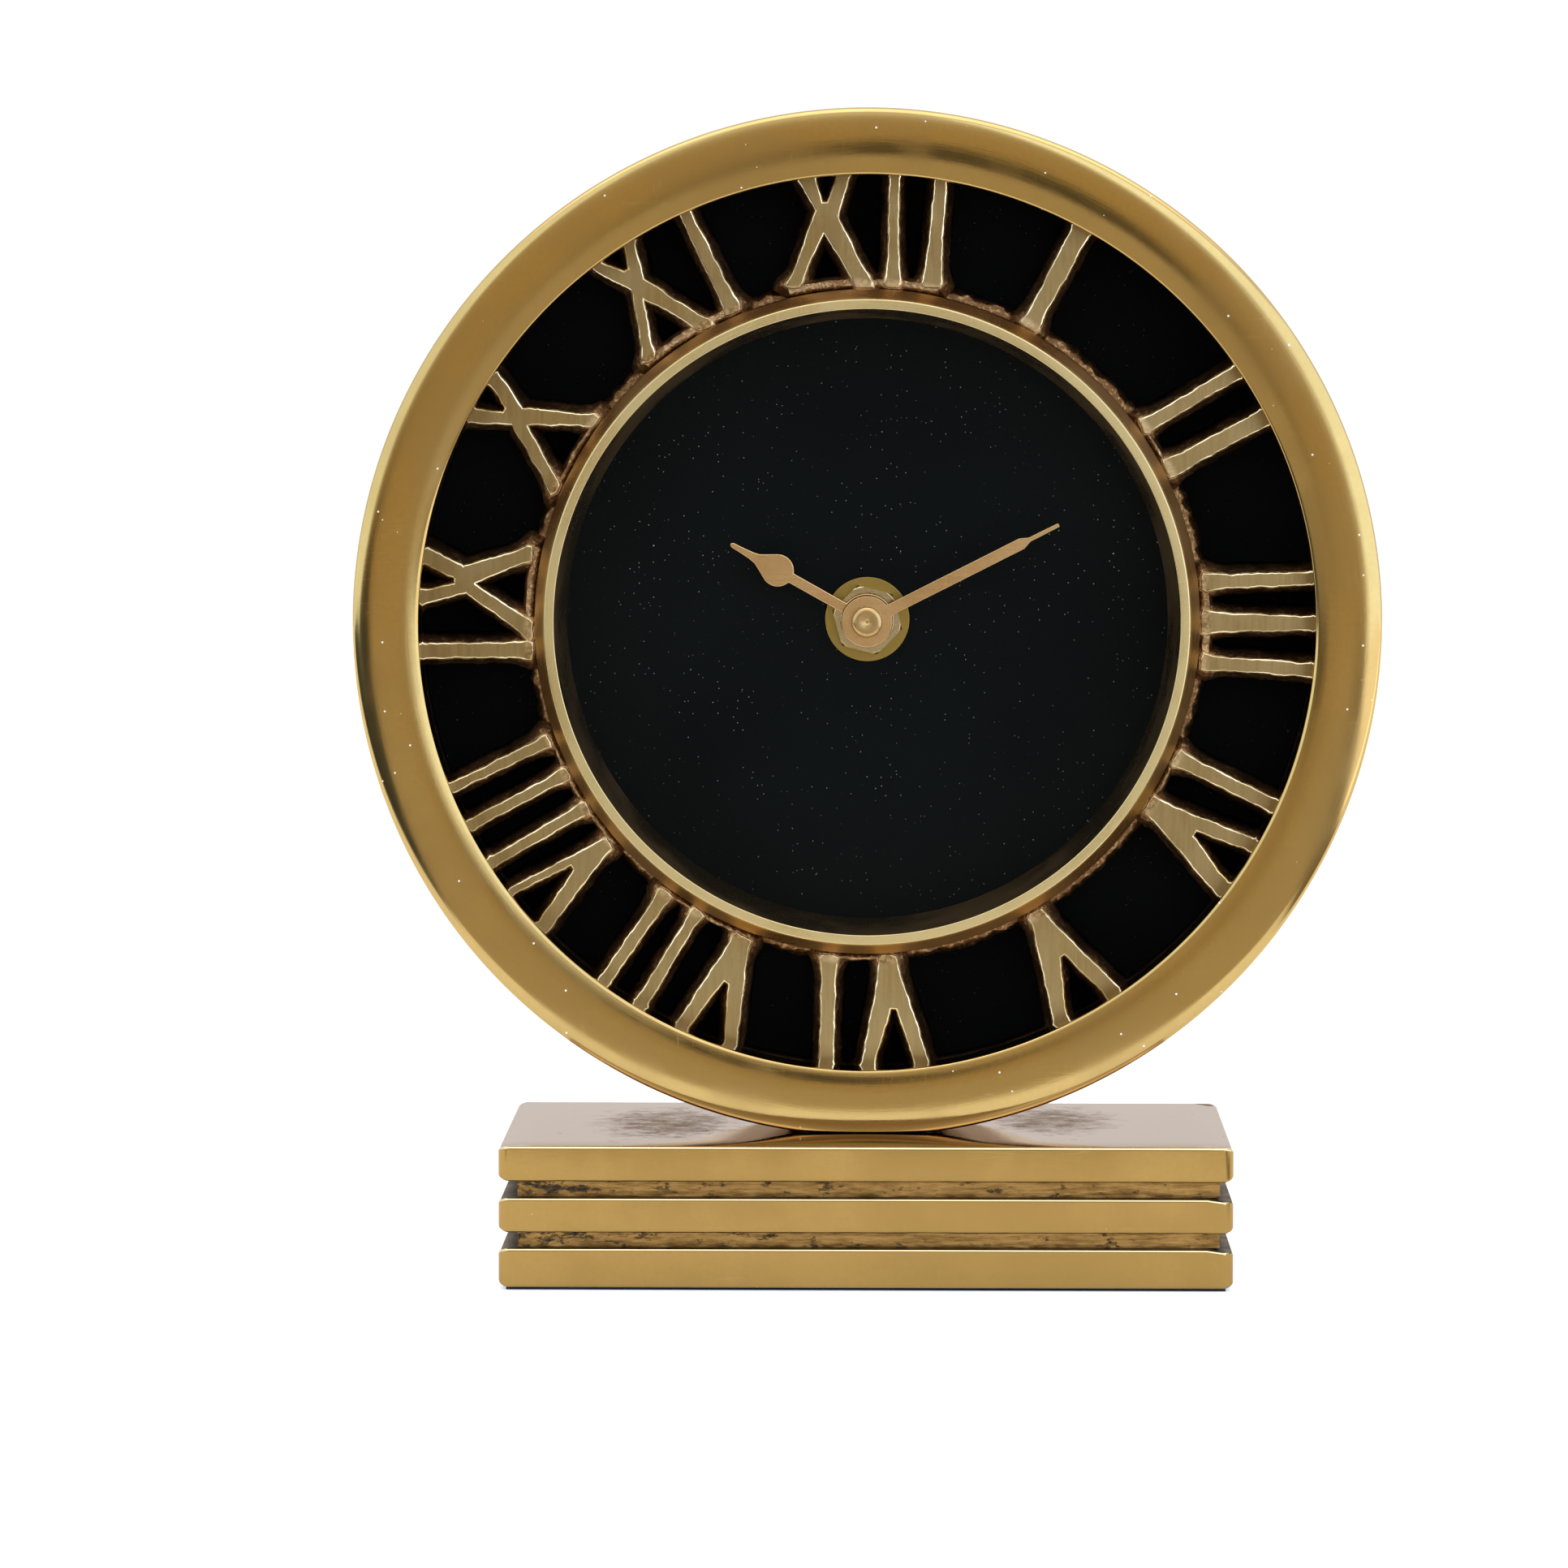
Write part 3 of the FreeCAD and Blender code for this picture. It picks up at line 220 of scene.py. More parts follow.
def makeBrass(name, finish):
    material, tree, shader, place = startMaterial(name)
    around = turnedPlace(tree, place) if finish["turned"] else place
    cloud = ranged(tree, noiseValue(tree, place, 55.0, 3.0, 0.55), 0.35, 0.65)
    fine = noiseValue(tree, place, 1400.0, 2.0, 0.6)
    colour = mixColour(tree, times(tree, cloud, 0.6), finish["light"], finish["dark"])
    colour = mixColour(tree, ranged(tree, fine, 0.3, 0.8, 0.0, 0.3), colour, finish["dark"])
    drawn = (90.0, 4.0, 90.0) if finish["turned"] else (5.0, 90.0, 90.0)
    brushed = noiseValue(tree, stretched(tree, around, drawn), 55.0, 3.0, 0.7)
    lines = hairLines(tree, stretched(tree, place, (62.0, 8.0, 2.5), (0, 34, 0)), 9.0, 0.008)
    crossing = hairLines(tree, stretched(tree, place, (2.5, 8.0, 70.0), (0, 21, 0)), 8.0, 0.008)
    broken = ranged(tree, noiseValue(tree, place, 130.0, 2.0), 0.52, 0.64)
    scratches = times(tree, mathNode(tree, "MAXIMUM", lines, crossing), broken)
    dots = specks(tree, place, 500.0, 0.075, finish["specks"])
    pale = tuple(min(1.0, 1.15 * channel + 0.05) for channel in finish["light"])
    colour = mixColour(tree, times(tree, scratches, finish["lines"] * 0.6), colour, pale)
    colour = mixColour(tree, dots, colour, speckTint)
    dull = None
    if "upward" in finish:
        # The top face is seen at a glance and mirrors paler, so it is coloured paler as a painted reflection,
        # with old stains. Groove faces are rough.
        upward = finish["upward"]
        normal = addNode(tree, "NewGeometry").outputs["Normal"]
        facing = apart(tree, normal)[2]
        level = apart(tree, place)[2]
        top = ranged(tree, facing, 0.93, 0.995)
        ragged = noiseValue(tree, stretched(tree, place, (1.0, 1.3, 1.0)), 260.0, 6.0, 0.8, 0.3)
        stain = times(tree, ranged(tree, ragged, 0.62, 0.72), 0.6)
        for spot in upward["spots"]:
            away = addNode(tree, "VectorMath", {"operation": "DISTANCE"},
                           {0: stretched(tree, place, (1.0, 0.55, 0.0)), 1: (spot[0], spot[1] * 0.55, 0.0)})
            inside = ranged(tree, away.outputs["Value"], spot[2] * 0.2, spot[2], 0.36, 0.0)
            patch = ranged(tree, plus(tree, ragged, inside), 0.6, 0.98, 0.0, 0.75)
            stain = mathNode(tree, "MAXIMUM", stain, patch)
        paler = mixColour(tree, stain, upward["clean"], upward["stained"])
        edgeTint = mixColour(tree, stain, upward["glance"], upward["stainedGlance"])
        tree.links.new(mixColour(tree, top, (1.0, 1.0, 1.0), edgeTint), shader.inputs["Specular Tint"])
        residue = mixColour(tree, ranged(tree, ragged, 0.4, 0.6), *upward["residue"])
        dull = times(tree, ranged(tree, mathNode(tree, "ABSOLUTE", facing), 0.9, 0.98),
                     ranged(tree, level, *upward["grooveBelow"], 1.0, 0.0))
        # Painted highlight: the rounded edges that face partly upwards are coloured a pale cream line
        edge = span(tree, facing, 0.28, 0.9, 0.08)
        colour = mixColour(tree, edge, colour, upward["edgeLine"])
        colour = mixColour(tree, top, colour, paler)
        colour = mixColour(tree, dull, colour, residue)
    if "bossLine" in finish:
        # Dirt and painted shade on the lower hand's boss, in a ring round the upper one
        split = apart(tree, turnedPlace(tree, place))
        ring = span(tree, split[0], *finish["bossLine"], 0.00002)
        lower = ranged(tree, split[2], 0.0, 0.0005)
        colour = mixColour(tree, times(tree, ring, lower), colour, finish["bossDirt"])
    if "backward" in finish:
        # Painted reflection: the wall behind the front edge is coloured darker, for the dark dial that it
        # mirrors
        behind = apart(tree, place)[1]
        wall = ranged(tree, behind, *finish["backwardFrom"])
        colour = mixColour(tree, wall, colour, finish["backward"])
    tree.links.new(colour, shader.inputs["Base Color"])
    rough = plus(tree, times(tree, cloud, 0.5), times(tree, brushed, 0.5))
    rough = ranged(tree, rough, 0.2, 0.8, *finish["rough"])
    rough = plus(tree, rough, times(tree, scratches, 0.12 * finish["lines"]))
    rough = plus(tree, rough, times(tree, dots, 0.4))
    if dull is not None:
        glossy = mathNode(tree, "SUBTRACT", 1.0, times(tree, top, 0.65))
        rough = times(tree, rough, glossy)
        rough = plus(tree, rough, times(tree, dull, 0.35))
        stained = times(tree, top, stain)
        rough = plus(tree, rough, times(tree, stained, 0.25))
    tree.links.new(rough, shader.inputs["Roughness"])
    shader.inputs["Metallic"].default_value = 1.0
    height = plus(tree, brushed, times(tree, fine, 0.5))
    height = mathNode(tree, "SUBTRACT", height, times(tree, scratches, finish["lines"]))
    height = mathNode(tree, "SUBTRACT", height, times(tree, dots, 1.5))
    useBump(tree, shader, height, finish["grain"])
    return material


castFinish = {
    "face": ((0.42, 0.3, 0.13), (0.34, 0.235, 0.095)), "scored": (0.24, 0.165, 0.065),
    "nearRing": (0.2, 0.14, 0.06), "ringReach": (0.056, 0.0595), "faceRough": (0.2, 0.32),
    "edge": (0.92, 0.8, 0.5), "edgeDepth": (-0.003985, -0.00378), "edgeRough": 0.16,
    "crest": ((0.26, 0.16, 0.065), (0.56, 0.39, 0.19)), "crestGlint": (0.78, 0.6, 0.34),
    "crestRadius": (0.0458, 0.0466), "footReach": (0.0465, 0.051), "footWall": (0.5, 0.31, 0.14),
    "wall": ((0.2, 0.1, 0.04), (0.8, 0.48, 0.21)), "darkWall": (0.1, 0.05, 0.02), "wallRough": 0.42,
    "wallDepth": (-0.00363, -0.0035), "deep": (0.003, 0.002, 0.0012), "deepFrom": (-0.0015, 0.0032),
    "grain": 0.25,
}


def makeCastBrass(finish):
    # Ground champagne faces in front, rough brown walls that go black with depth as painted shade
    material, tree, shader, place = startMaterial("castBrass")
    split = apart(tree, place)
    radius = apart(tree, turnedPlace(tree, place))[0]
    crumbs = noiseValue(tree, place, 1500.0, 4.0, 0.75)
    depth = plus(tree, split[1], times(tree, crumbs, 0.0003))
    ragged = plus(tree, radius, times(tree, crumbs, 0.0006))
    footBand = ranged(tree, ragged, *finish["crestRadius"], 1.0, 0.0)
    onFace = mathNode(tree, "SUBTRACT", 1.0, footBand)
    # Worn front edges, coloured pale and made smoother as a painted highlight
    wornHighlight = times(tree, span(tree, split[1], *finish["edgeDepth"], 0.00002), onFace)
    uneven = ranged(tree, noiseValue(tree, place, 170.0, 2.0), 0.38, 0.58, 0.3, 1.0)
    wornHighlight = times(tree, wornHighlight, uneven)
    inWall = ranged(tree, depth, *finish["wallDepth"])
    # Painted shade: the walls are coloured black further back
    deep = ranged(tree, depth, *finish["deepFrom"])
    foot = ranged(tree, radius, *finish["footReach"], 1.0, 0.0)
    cloud = noiseValue(tree, place, 160.0, 3.0, 0.6)
    ground = noiseValue(tree, stretched(tree, place, (30.0, 1.0, 2.5)), 60.0, 3.0, 0.7)
    face = mixColour(tree, ranged(tree, cloud, 0.3, 0.7), *finish["face"])
    face = mixColour(tree, ranged(tree, ground, 0.35, 0.7, 0.0, 0.4), face, finish["scored"])
    # Painted shadow of the ring's lip: the faces are coloured darker towards the ring
    face = mixColour(tree, ranged(tree, radius, *finish["ringReach"], 0.0, 0.5), face, finish["nearRing"])
    face = mixColour(tree, wornHighlight, face, finish["edge"])
    patches = ranged(tree, noiseValue(tree, place, 260.0, 2.0), 0.4, 0.6)
    crest = mixColour(tree, ranged(tree, crumbs, 0.4, 0.62), *finish["crest"])
    crest = mixColour(tree, times(tree, patches, 0.5), crest, finish["crestGlint"])
    face = mixColour(tree, footBand, face, crest)
    brown = mathNode(tree, "MAXIMUM", foot, times(tree, patches, 0.9))
    glints = ranged(tree, crumbs, 0.5, 0.68)
    wall = mixColour(tree, glints, *finish["wall"])
    wall = mixColour(tree, brown, finish["darkWall"], wall)
    wall = mixColour(tree, times(tree, foot, glints), wall, finish["footWall"])
    wall = mixColour(tree, deep, wall, finish["deep"])
    tree.links.new(mixColour(tree, inWall, face, wall), shader.inputs["Base Color"])
    faceRough = ranged(tree, cloud, 0.3, 0.7, *finish["faceRough"])
    faceRough = mixNumber(tree, wornHighlight, faceRough, finish["edgeRough"])
    tree.links.new(mixNumber(tree, inWall, faceRough, finish["wallRough"]), shader.inputs["Roughness"])
    shader.inputs["Metallic"].default_value = 1.0
    grit = times(tree, crumbs, ranged(tree, inWall, 0.0, 1.0, 0.012, 0.7))
    height = plus(tree, grit, times(tree, ground, 0.012))
    useBump(tree, shader, height, finish["grain"])
    return material


grooveFinish = {
    "milled": ((0.44, 0.25, 0.075), (0.2, 0.105, 0.03)), "residue": (0.018, 0.012, 0.008),
    "rough": (0.36, 0.75), "metal": (1.0, 0.2), "moreLeft": (-0.05, -0.02), "grain": 0.06,
}


def makeGrooveBrass(finish):
    # Milled groove floors with black residue left in them
    material, tree, shader, place = startMaterial("grooveBrass")
    milled = noiseValue(tree, stretched(tree, place, (6.0, 60.0, 60.0)), 40.0, 4.0, 0.7)
    blotch = noiseValue(tree, stretched(tree, place, (1.0, 2.0, 2.4)), 260.0, 6.0, 0.78)
    split = apart(tree, place)
    leftward = ranged(tree, split[0], *finish["moreLeft"], 0.09, 0.0)
    residue = ranged(tree, plus(tree, blotch, leftward), 0.56, 0.68)
    colour = mixColour(tree, ranged(tree, milled, 0.3, 0.7), *finish["milled"])
    colour = mixColour(tree, residue, colour, finish["residue"])
    tree.links.new(colour, shader.inputs["Base Color"])
    tree.links.new(ranged(tree, residue, 0.0, 1.0, *finish["rough"]), shader.inputs["Roughness"])
    tree.links.new(ranged(tree, residue, 0.0, 1.0, *finish["metal"]), shader.inputs["Metallic"])
    useBump(tree, shader, plus(tree, milled, residue), finish["grain"])
    return material


dustTint = (0.6, 0.6, 0.52)
blackFinish = {
    "dial": {"tint": (0.0018, 0.0027, 0.002), "rough": 0.5, "dust": 0.34, "density": 0.4},
    # The card behind the numerals is a darker black than the dial, as painted shade
    "card": {"tint": (0.0006, 0.0006, 0.0006), "rough": 0.7, "dust": 0.5, "density": 0.7},
}


def makeDustyBlack(name, tint, rough, dust, density):
    # Black paint or card with a faint cloud and dust that has settled on it
    material, tree, shader, place = startMaterial(name)
    cloud = noiseValue(tree, place, 30.0, 3.0, 0.5)
    grain = noiseValue(tree, place, 2600.0, 2.0, 0.6)
    colour = mixColour(tree, ranged(tree, cloud, 0.3, 0.75), tint, tuple(0.55 * channel for channel in tint))
    small = specks(tree, place, 1500.0, 0.14, density)
    large = specks(tree, place, 420.0, 0.07, density * 0.5)
    patch = ranged(tree, noiseValue(tree, place, 90.0, 3.0), 0.3, 0.7, 0.15, 1.0)
    amount = times(tree, mathNode(tree, "MAXIMUM", small, large), patch)
    colour = mixColour(tree, times(tree, amount, dust), colour, dustTint)
    tree.links.new(colour, shader.inputs["Base Color"])
    tree.links.new(ranged(tree, cloud, 0.3, 0.7, rough - 0.06, rough + 0.06), shader.inputs["Roughness"])
    shader.inputs["Specular IOR Level"].default_value = 0.05
    useBump(tree, shader, grain, 0.006)
    return material


plainFinish = {
    "black_steel": {"light": (0.022, 0.022, 0.024), "dark": (0.012, 0.012, 0.013), "rough": (0.38, 0.5),
                    "metal": 0.0, "grain": 0.012, "scale": 1500.0},
    "screw_steel": {"light": (0.5, 0.5, 0.5), "dark": (0.36, 0.36, 0.37), "rough": (0.22, 0.35),
                    "metal": 1.0, "grain": 0.004, "scale": 2500.0},
    "contact_steel": {"light": (0.62, 0.61, 0.58), "dark": (0.5, 0.49, 0.46), "rough": (0.18, 0.3),
                      "metal": 1.0, "grain": 0.003, "scale": 2500.0},
    "crystal_can": {"light": (0.66, 0.66, 0.66), "dark": (0.5, 0.5, 0.52), "rough": (0.2, 0.3),
                    "metal": 1.0, "grain": 0.002, "scale": 3000.0},
    "magnet": {"light": (0.05, 0.05, 0.052), "dark": (0.03, 0.03, 0.032), "rough": (0.4, 0.55),
               "metal": 0.6, "grain": 0.01, "scale": 2500.0},
    "copper_wire": {"light": (0.75, 0.28, 0.11), "dark": (0.5, 0.16, 0.06), "rough": (0.3, 0.42),
                    "metal": 1.0, "grain": 0.05, "scale": 6000.0},
    "felt": {"light": (0.012, 0.012, 0.012), "dark": (0.004, 0.004, 0.004), "rough": (0.9, 1.0),
             "metal": 0.0, "grain": 0.08, "scale": 3500.0},
    "rubber": {"light": (0.02, 0.02, 0.02), "dark": (0.012, 0.012, 0.012), "rough": (0.6, 0.75),
               "metal": 0.0, "grain": 0.01, "scale": 2000.0},
    "black_plastic": {"light": (0.02, 0.02, 0.021), "dark": (0.014, 0.014, 0.015), "rough": (0.42, 0.55),
                      "metal": 0.0, "grain": 0.02, "scale": 2200.0},
    "wheel_plastic": {"light": (0.72, 0.7, 0.64), "dark": (0.62, 0.6, 0.54), "rough": (0.35, 0.45),
                      "metal": 0.0, "grain": 0.005, "scale": 2500.0},
    "board_green": {"light": (0.03, 0.14, 0.05), "dark": (0.02, 0.1, 0.035), "rough": (0.3, 0.42),
                    "metal": 0.0, "grain": 0.006, "scale": 1800.0},
    "chip_resin": {"light": (0.012, 0.012, 0.013), "dark": (0.008, 0.008, 0.009), "rough": (0.2, 0.3),
                   "metal": 0.0, "grain": 0.01, "scale": 900.0},
    "battery_sleeve": {"light": (0.13, 0.15, 0.16), "dark": (0.1, 0.115, 0.125), "rough": (0.25, 0.36),
                       "metal": 0.3, "grain": 0.004, "scale": 1500.0},
}


def makePlain(name, finish):
    material, tree, shader, place = startMaterial(name)
    cloud = noiseValue(tree, place, 120.0, 3.0, 0.55)
    grain = noiseValue(tree, place, finish["scale"], 3.0, 0.6)
    share = ranged(tree, plus(tree, times(tree, cloud, 0.6), times(tree, grain, 0.4)), 0.35, 0.65)
    colour = mixColour(tree, share, finish["light"], finish["dark"])
    tree.links.new(colour, shader.inputs["Base Color"])
    tree.links.new(ranged(tree, grain, 0.3, 0.7, *finish["rough"]), shader.inputs["Roughness"])
    shader.inputs["Metallic"].default_value = finish["metal"]
    useBump(tree, shader, grain, finish["grain"])
    return material


finishes = {name: makeBrass(name, finish) for name, finish in brassFinish.items()}
finishes.update({name: makePlain(name, finish) for name, finish in plainFinish.items()})
finishes["cast_brass"] = makeCastBrass(castFinish)
finishes["groove_brass"] = makeGrooveBrass(grooveFinish)
finishes["black_dial"] = makeDustyBlack("blackDial", **blackFinish["dial"])
finishes["black_card"] = makeDustyBlack("blackCard", **blackFinish["card"])
print("materials made", len(finishes))


# Small helpers for meshes
def spun(outline, steps, closed=True):
    # Turns an outline of (radius, y) corners round the axis of the hands
    bm = bmesh.new()
    corners = [bm.verts.new((radius, y, axisHeight)) for radius, y in outline]
    pairs = list(zip(corners, corners[1:]))
    if closed:
        pairs.append((corners[-1], corners[0]))
    edges = [bm.edges.new(pair) for pair in pairs]
    centre = (0, 0, axisHeight)
    bmesh.ops.spin(bm, geom=corners + edges, cent=centre, axis=(0, 1, 0), angle=math.radians(360.0),
                   steps=steps, use_merge=True)
    bmesh.ops.remove_doubles(bm, verts=bm.verts, dist=0.0005)
    bmesh.ops.recalc_face_normals(bm, faces=bm.faces)
    return bm


def soften(bm, width, segments=2, angle=30.0):
    # Rounds the edges that are sharper than an angle
    sharp = [edge for edge in bm.edges
             if len(edge.link_faces) == 2 and edge.calc_face_angle(0.0) > math.radians(angle)]
    bmesh.ops.bevel(bm, geom=sharp, offset=width, segments=segments, profile=0.5, affect="EDGES",
                    material=-1, clamp_overlap=True)
    return bm


def cadCopy(node):
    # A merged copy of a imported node, with its flat faces whole again
    bm = bmesh.new()
    bm.from_mesh(frame["nodes"][node].data)
    bmesh.ops.scale(bm, vec=(1000.0, 1000.0, 1000.0), verts=bm.verts)
    bmesh.ops.remove_doubles(bm, verts=bm.verts, dist=0.002)
    bmesh.ops.dissolve_limit(bm, angle_limit=math.radians(1.0), verts=bm.verts, edges=bm.edges)
    return bm


def looseObject(bm, name):
    mesh = bpy.data.meshes.new(name)
    bm.to_mesh(mesh)
    bm.free()
    piece = bpy.data.objects.new(name, mesh)
    scene.collection.objects.link(piece)
    return piece


def combined(first, others, operation):
    # Joins closed meshes into one solid, or cuts them out of the first
    holder = looseObject(first, "holder")
    tools = []
    for bm in others:
        tool = looseObject(bm, "tool")
        step = holder.modifiers.new("step", "BOOLEAN")
        step.operation = operation
        step.solver = "MANIFOLD"
        step.object = tool
        tools.append(tool)
    result = bmesh.new()
    result.from_object(holder, bpy.context.evaluated_depsgraph_get())
    for piece in [holder] + tools:
        mesh = piece.data
        bpy.data.objects.remove(piece)
        bpy.data.meshes.remove(mesh)
    return result


def finishPiece(name, bm, node, material, sharpAngle=35.0):
    bmesh.ops.recalc_face_normals(bm, faces=bm.faces)
    bmesh.ops.scale(bm, vec=(metres, metres, metres), verts=bm.verts)
    for face in bm.faces:
        face.smooth = True
    piece = looseObject(bm, name)
    piece.data.set_sharp_from_angle(angle=math.radians(sharpAngle))
    piece.data.materials.append(finishes[material])
    shading = piece.modifiers.new("evenShading", "WEIGHTED_NORMAL")
    shading.keep_sharp = True
    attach(piece, frame["nodes"][node]["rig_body"])
    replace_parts(piece, node)


# The heavy ring
ringShape = {
    "arrisInner": 59.6, "arris": [(0.0, 0.4), (0.04, 0.24), (0.1, 0.12), (0.17, 0.05)],
    "lipBack": -4.0, "bore": 61.4,
    "recess": 66.5, "shelf": 7.0, "back": 10.0, "outer": 68.5, "backRound": 1.5, "front": -10.0,
    "slopes": [(59.85, -7.4), (60.8, -5.5), (61.8, -3.9), (62.8, -2.6), (63.8, -1.7), (64.8, -0.95),
               (65.6, -0.3), (66.2, 0.5), (66.8, 2.2), (67.2, 5.0), (67.5, 9.5), (67.8, 18.0), (68.05, 33.0),
               (68.25, 50.0), (68.42, 72.0), (68.5, 88.0)],
}


def ringFace(shape):
    # Adds up the slope of the domed front from the arris to the outer edge
    points = [(shape["slopes"][0][0], 0.0)]
    for (r0, a0), (r1, a1) in zip(shape["slopes"], shape["slopes"][1:]):
        parts = 4
        for k in range(parts):
            share = (k + 0.5) / parts
            slope = math.tan(math.radians(a0 + (a1 - a0) * share))
            radius = r0 + (r1 - r0) * (k + 1) / parts
            points.append((radius, points[-1][1] + slope * (r1 - r0) / parts))
    lowest = min(y for radius, y in points)
    return [(radius, y - lowest + shape["front"]) for radius, y in points]


def makeRing(shape):
    face = ringFace(shape)
    start = face[0][1]
    outline = [(shape["arrisInner"], shape["lipBack"])]
    outline += [(shape["arrisInner"] + across, start + back) for across, back in shape["arris"]]
    outline += face
    turn = shape["backRound"]
    for k in range(7):
        angle = math.radians(15 * k)
        across, back = turn * (1 - math.cos(angle)), turn * (1 - math.sin(angle))
        outline.append((shape["outer"] - across, shape["back"] - back))
    outline += [(shape["recess"], shape["back"]), (shape["recess"], shape["shelf"]),
                (shape["bore"], shape["shelf"]), (shape["bore"], shape["lipBack"])]
    return spun(outline, 384)


finishPiece("ring", makeRing(ringShape), "rim", "polished_brass")
print("ring made")


# The numeral casting. Corners are (sideways, radius) from each numeral's own line.
castShape = {
    "readingIn": 45.2, "readingOut": 59.3, "endIn": 44.9, "endOut": 60.6, "step": 0.42,
    "wallLevels": [(-4.0, -0.24), (-3.965, -0.13), (-3.9, -0.04), (-3.78, 0.02), (-3.5, 0.13), (-3.1, 0.29),
                   (-2.4, 0.49), (-1.4, 0.7), (0.0, 0.88), (2.0, 1.03), (4.5, 1.14)],
    "wobble": 0.17, "nibble": 0.095, "grit": 0.22, "flare": 0.9, "flareFrom": 48.3,
    "flareReach": 3.0, "ringFlare": 0.5, "ringFlareFrom": 59.0, "blunt": 0.3, "gritScale": 1.9,
    "band": [(44.55, -0.6), (45.1, -0.6), (45.45, -0.3), (45.8, 0.6), (46.0, 2.0), (46.1, 4.5), (44.55, 4.5)],
    "rimBand": [(59.9, -4.0), (61.3, -4.0), (61.3, 4.5), (59.9, 4.5)],
    "bandStray": (0.45, 0.2), "footStray": 1.3, "crestDent": 0.16,
    "footInner": 44.55, "footFront": -3.72, "footOuter": {3: 45.9, 9: 45.7, 11: 45.8, 12: 45.8},
}
numeralStrokes = {
    1: [("bar", -2.1, 0.1, -2.85, -0.15)],
    2: [("bar", -5.1, -3.35, -5.35, -3.3), ("bar", 1.15, 3.5, 1.5, 3.9)],
    3: [("bar", -6.5, -4.4, -6.9, -5.05), ("bar", -1.55, 1.35, -0.95, 1.05), ("bar", 4.35, 6.25, 5.25, 7.35)],
    4: [("bar", -6.1, -4.05, -6.95, -5.0), ("vee", (1.05, 3.35), (2.5, 52.2), (-0.95, 0.95), (5.85, 8.4))],
    5: [("vee", (-1.0, 0.75), (-0.35, 52.0), (-4.95, -2.6), (3.1, 5.3))],
    6: [("vee", (-3.9, -1.85), (-3.65, 52.0), (-8.6, -6.4), (-1.2, 0.7)), ("bar", 3.95, 6.05, 4.4, 6.4)],
    7: [("vee", (-7.9, -5.6), (-7.9, 51.4), (-14.0, -12.0), (-6.65, -4.7)),
        ("bar", -0.5, 1.05, -0.4, 1.55), ("bar", 4.3, 6.15, 5.45, 7.25)],
    8: [("vee", (-9.2, -7.5), (-8.8, 50.8), (-15.5, -13.2), (-8.1, -6.85)), ("bar", -3.6, -1.9, -3.55, -2.0),
        ("bar", 1.75, 3.3, 2.1, 3.8), ("bar", 6.85, 8.4, 7.75, 9.3)],
    9: [("bar", -4.8, -2.6, -4.9, -2.8),
        ("cross", (3.8, 53.7), (7.6, 54.0), (5.5, 55.3), (5.15, 52.3),
         (2.4, 4.4), (7.7, 10.4), (-2.3, 0.3), (8.3, 10.1))],
    10: [("cross", (-0.9, 54.4), (1.95, 54.2), (0.35, 56.2), (0.15, 52.3),
          (-3.6, -1.3), (2.2, 4.2), (-6.1, -4.4), (4.3, 5.9))],
    11: [("cross", (-5.2, 54.1), (-2.75, 54.6), (-4.3, 56.8), (-4.2, 52.1),
          (-8.3, -6.6), (-3.1, -1.5), (-8.3, -6.8), (0.1, 2.0)), ("bar", 4.4, 6.4, 5.4, 7.15)],
    12: [("cross", (-7.0, 55.0), (-3.85, 54.2), (-5.65, 56.1), (-5.8, 51.8),
          (-9.5, -6.9), (-4.2, -2.3), (-10.5, -8.9), (-1.5, 0.7)), ("bar", 2.5, 4.3, 2.85, 4.3),
         ("bar", 7.5, 9.8, 9.0, 10.7)],
}


def onLine(first, second, radius):
    share = (radius - first[1]) / (second[1] - first[1])
    return first[0] + share * (second[0] - first[0]), radius


def barCorners(inLeft, inRight, outLeft, outRight):
    low, top = castShape["readingIn"], castShape["readingOut"]
    ends = castShape["endIn"], castShape["endOut"]
    left = [onLine((inLeft, low), (outLeft, top), radius) for radius in ends]
    right = [onLine((inRight, low), (outRight, top), radius) for radius in reversed(ends)]
    return [left + right]


def blunted(notch):
    half = castShape["blunt"]
    return (notch[0] - half, notch[1]), (notch[0] + half, notch[1])


def veeCorners(apex, notch, leftLeg, rightLeg):
    # Two legs that share the whole of their apex
    low, top = castShape["readingIn"], castShape["readingOut"]
    inEnd, outEnd = castShape["endIn"], castShape["endOut"]
    leftIn = onLine((apex[0], low), (leftLeg[0], top), inEnd)
    rightIn = onLine((apex[1], low), (rightLeg[1], top), inEnd)
    notchLeft, notchRight = blunted(notch)
    left = [leftIn, onLine((apex[0], low), (leftLeg[0], top), outEnd),
            onLine(notchLeft, (leftLeg[1], top), outEnd), notchLeft, notchRight, rightIn]
    right = [notchLeft, notchRight, onLine(notchRight, (rightLeg[0], top), outEnd),
             onLine((apex[1], low), (rightLeg[1], top), outEnd), rightIn, leftIn]
    return [left, right]


def crossCorners(waistLeft, waistRight, notchOut, notchIn, outLeft, outRight, inLeft, inRight):
    # Two bars that cross and share the middle
    low, top = castShape["readingIn"], castShape["readingOut"]
    inEnd, outEnd = castShape["endIn"], castShape["endOut"]
    notchLeft, notchRight = blunted(notchOut)
    falling = [onLine(waistLeft, (outLeft[0], top), outEnd), onLine(notchLeft, (outLeft[1], top), outEnd),
               notchLeft, notchRight, waistRight, onLine(waistRight, (inRight[1], low), inEnd),
               onLine(notchIn, (inRight[0], low), inEnd), notchIn, waistLeft]
    rising = [notchLeft, notchRight, onLine(notchRight, (outRight[0], top), outEnd),
              onLine(waistRight, (outRight[1], top), outEnd), waistRight, notchIn,
              onLine(notchIn, (inLeft[1], low), inEnd), onLine(waistLeft, (inLeft[0], low), inEnd), waistLeft]
    return [falling, rising]


strokeMakers = {"bar": barCorners, "vee": veeCorners, "cross": crossCorners}


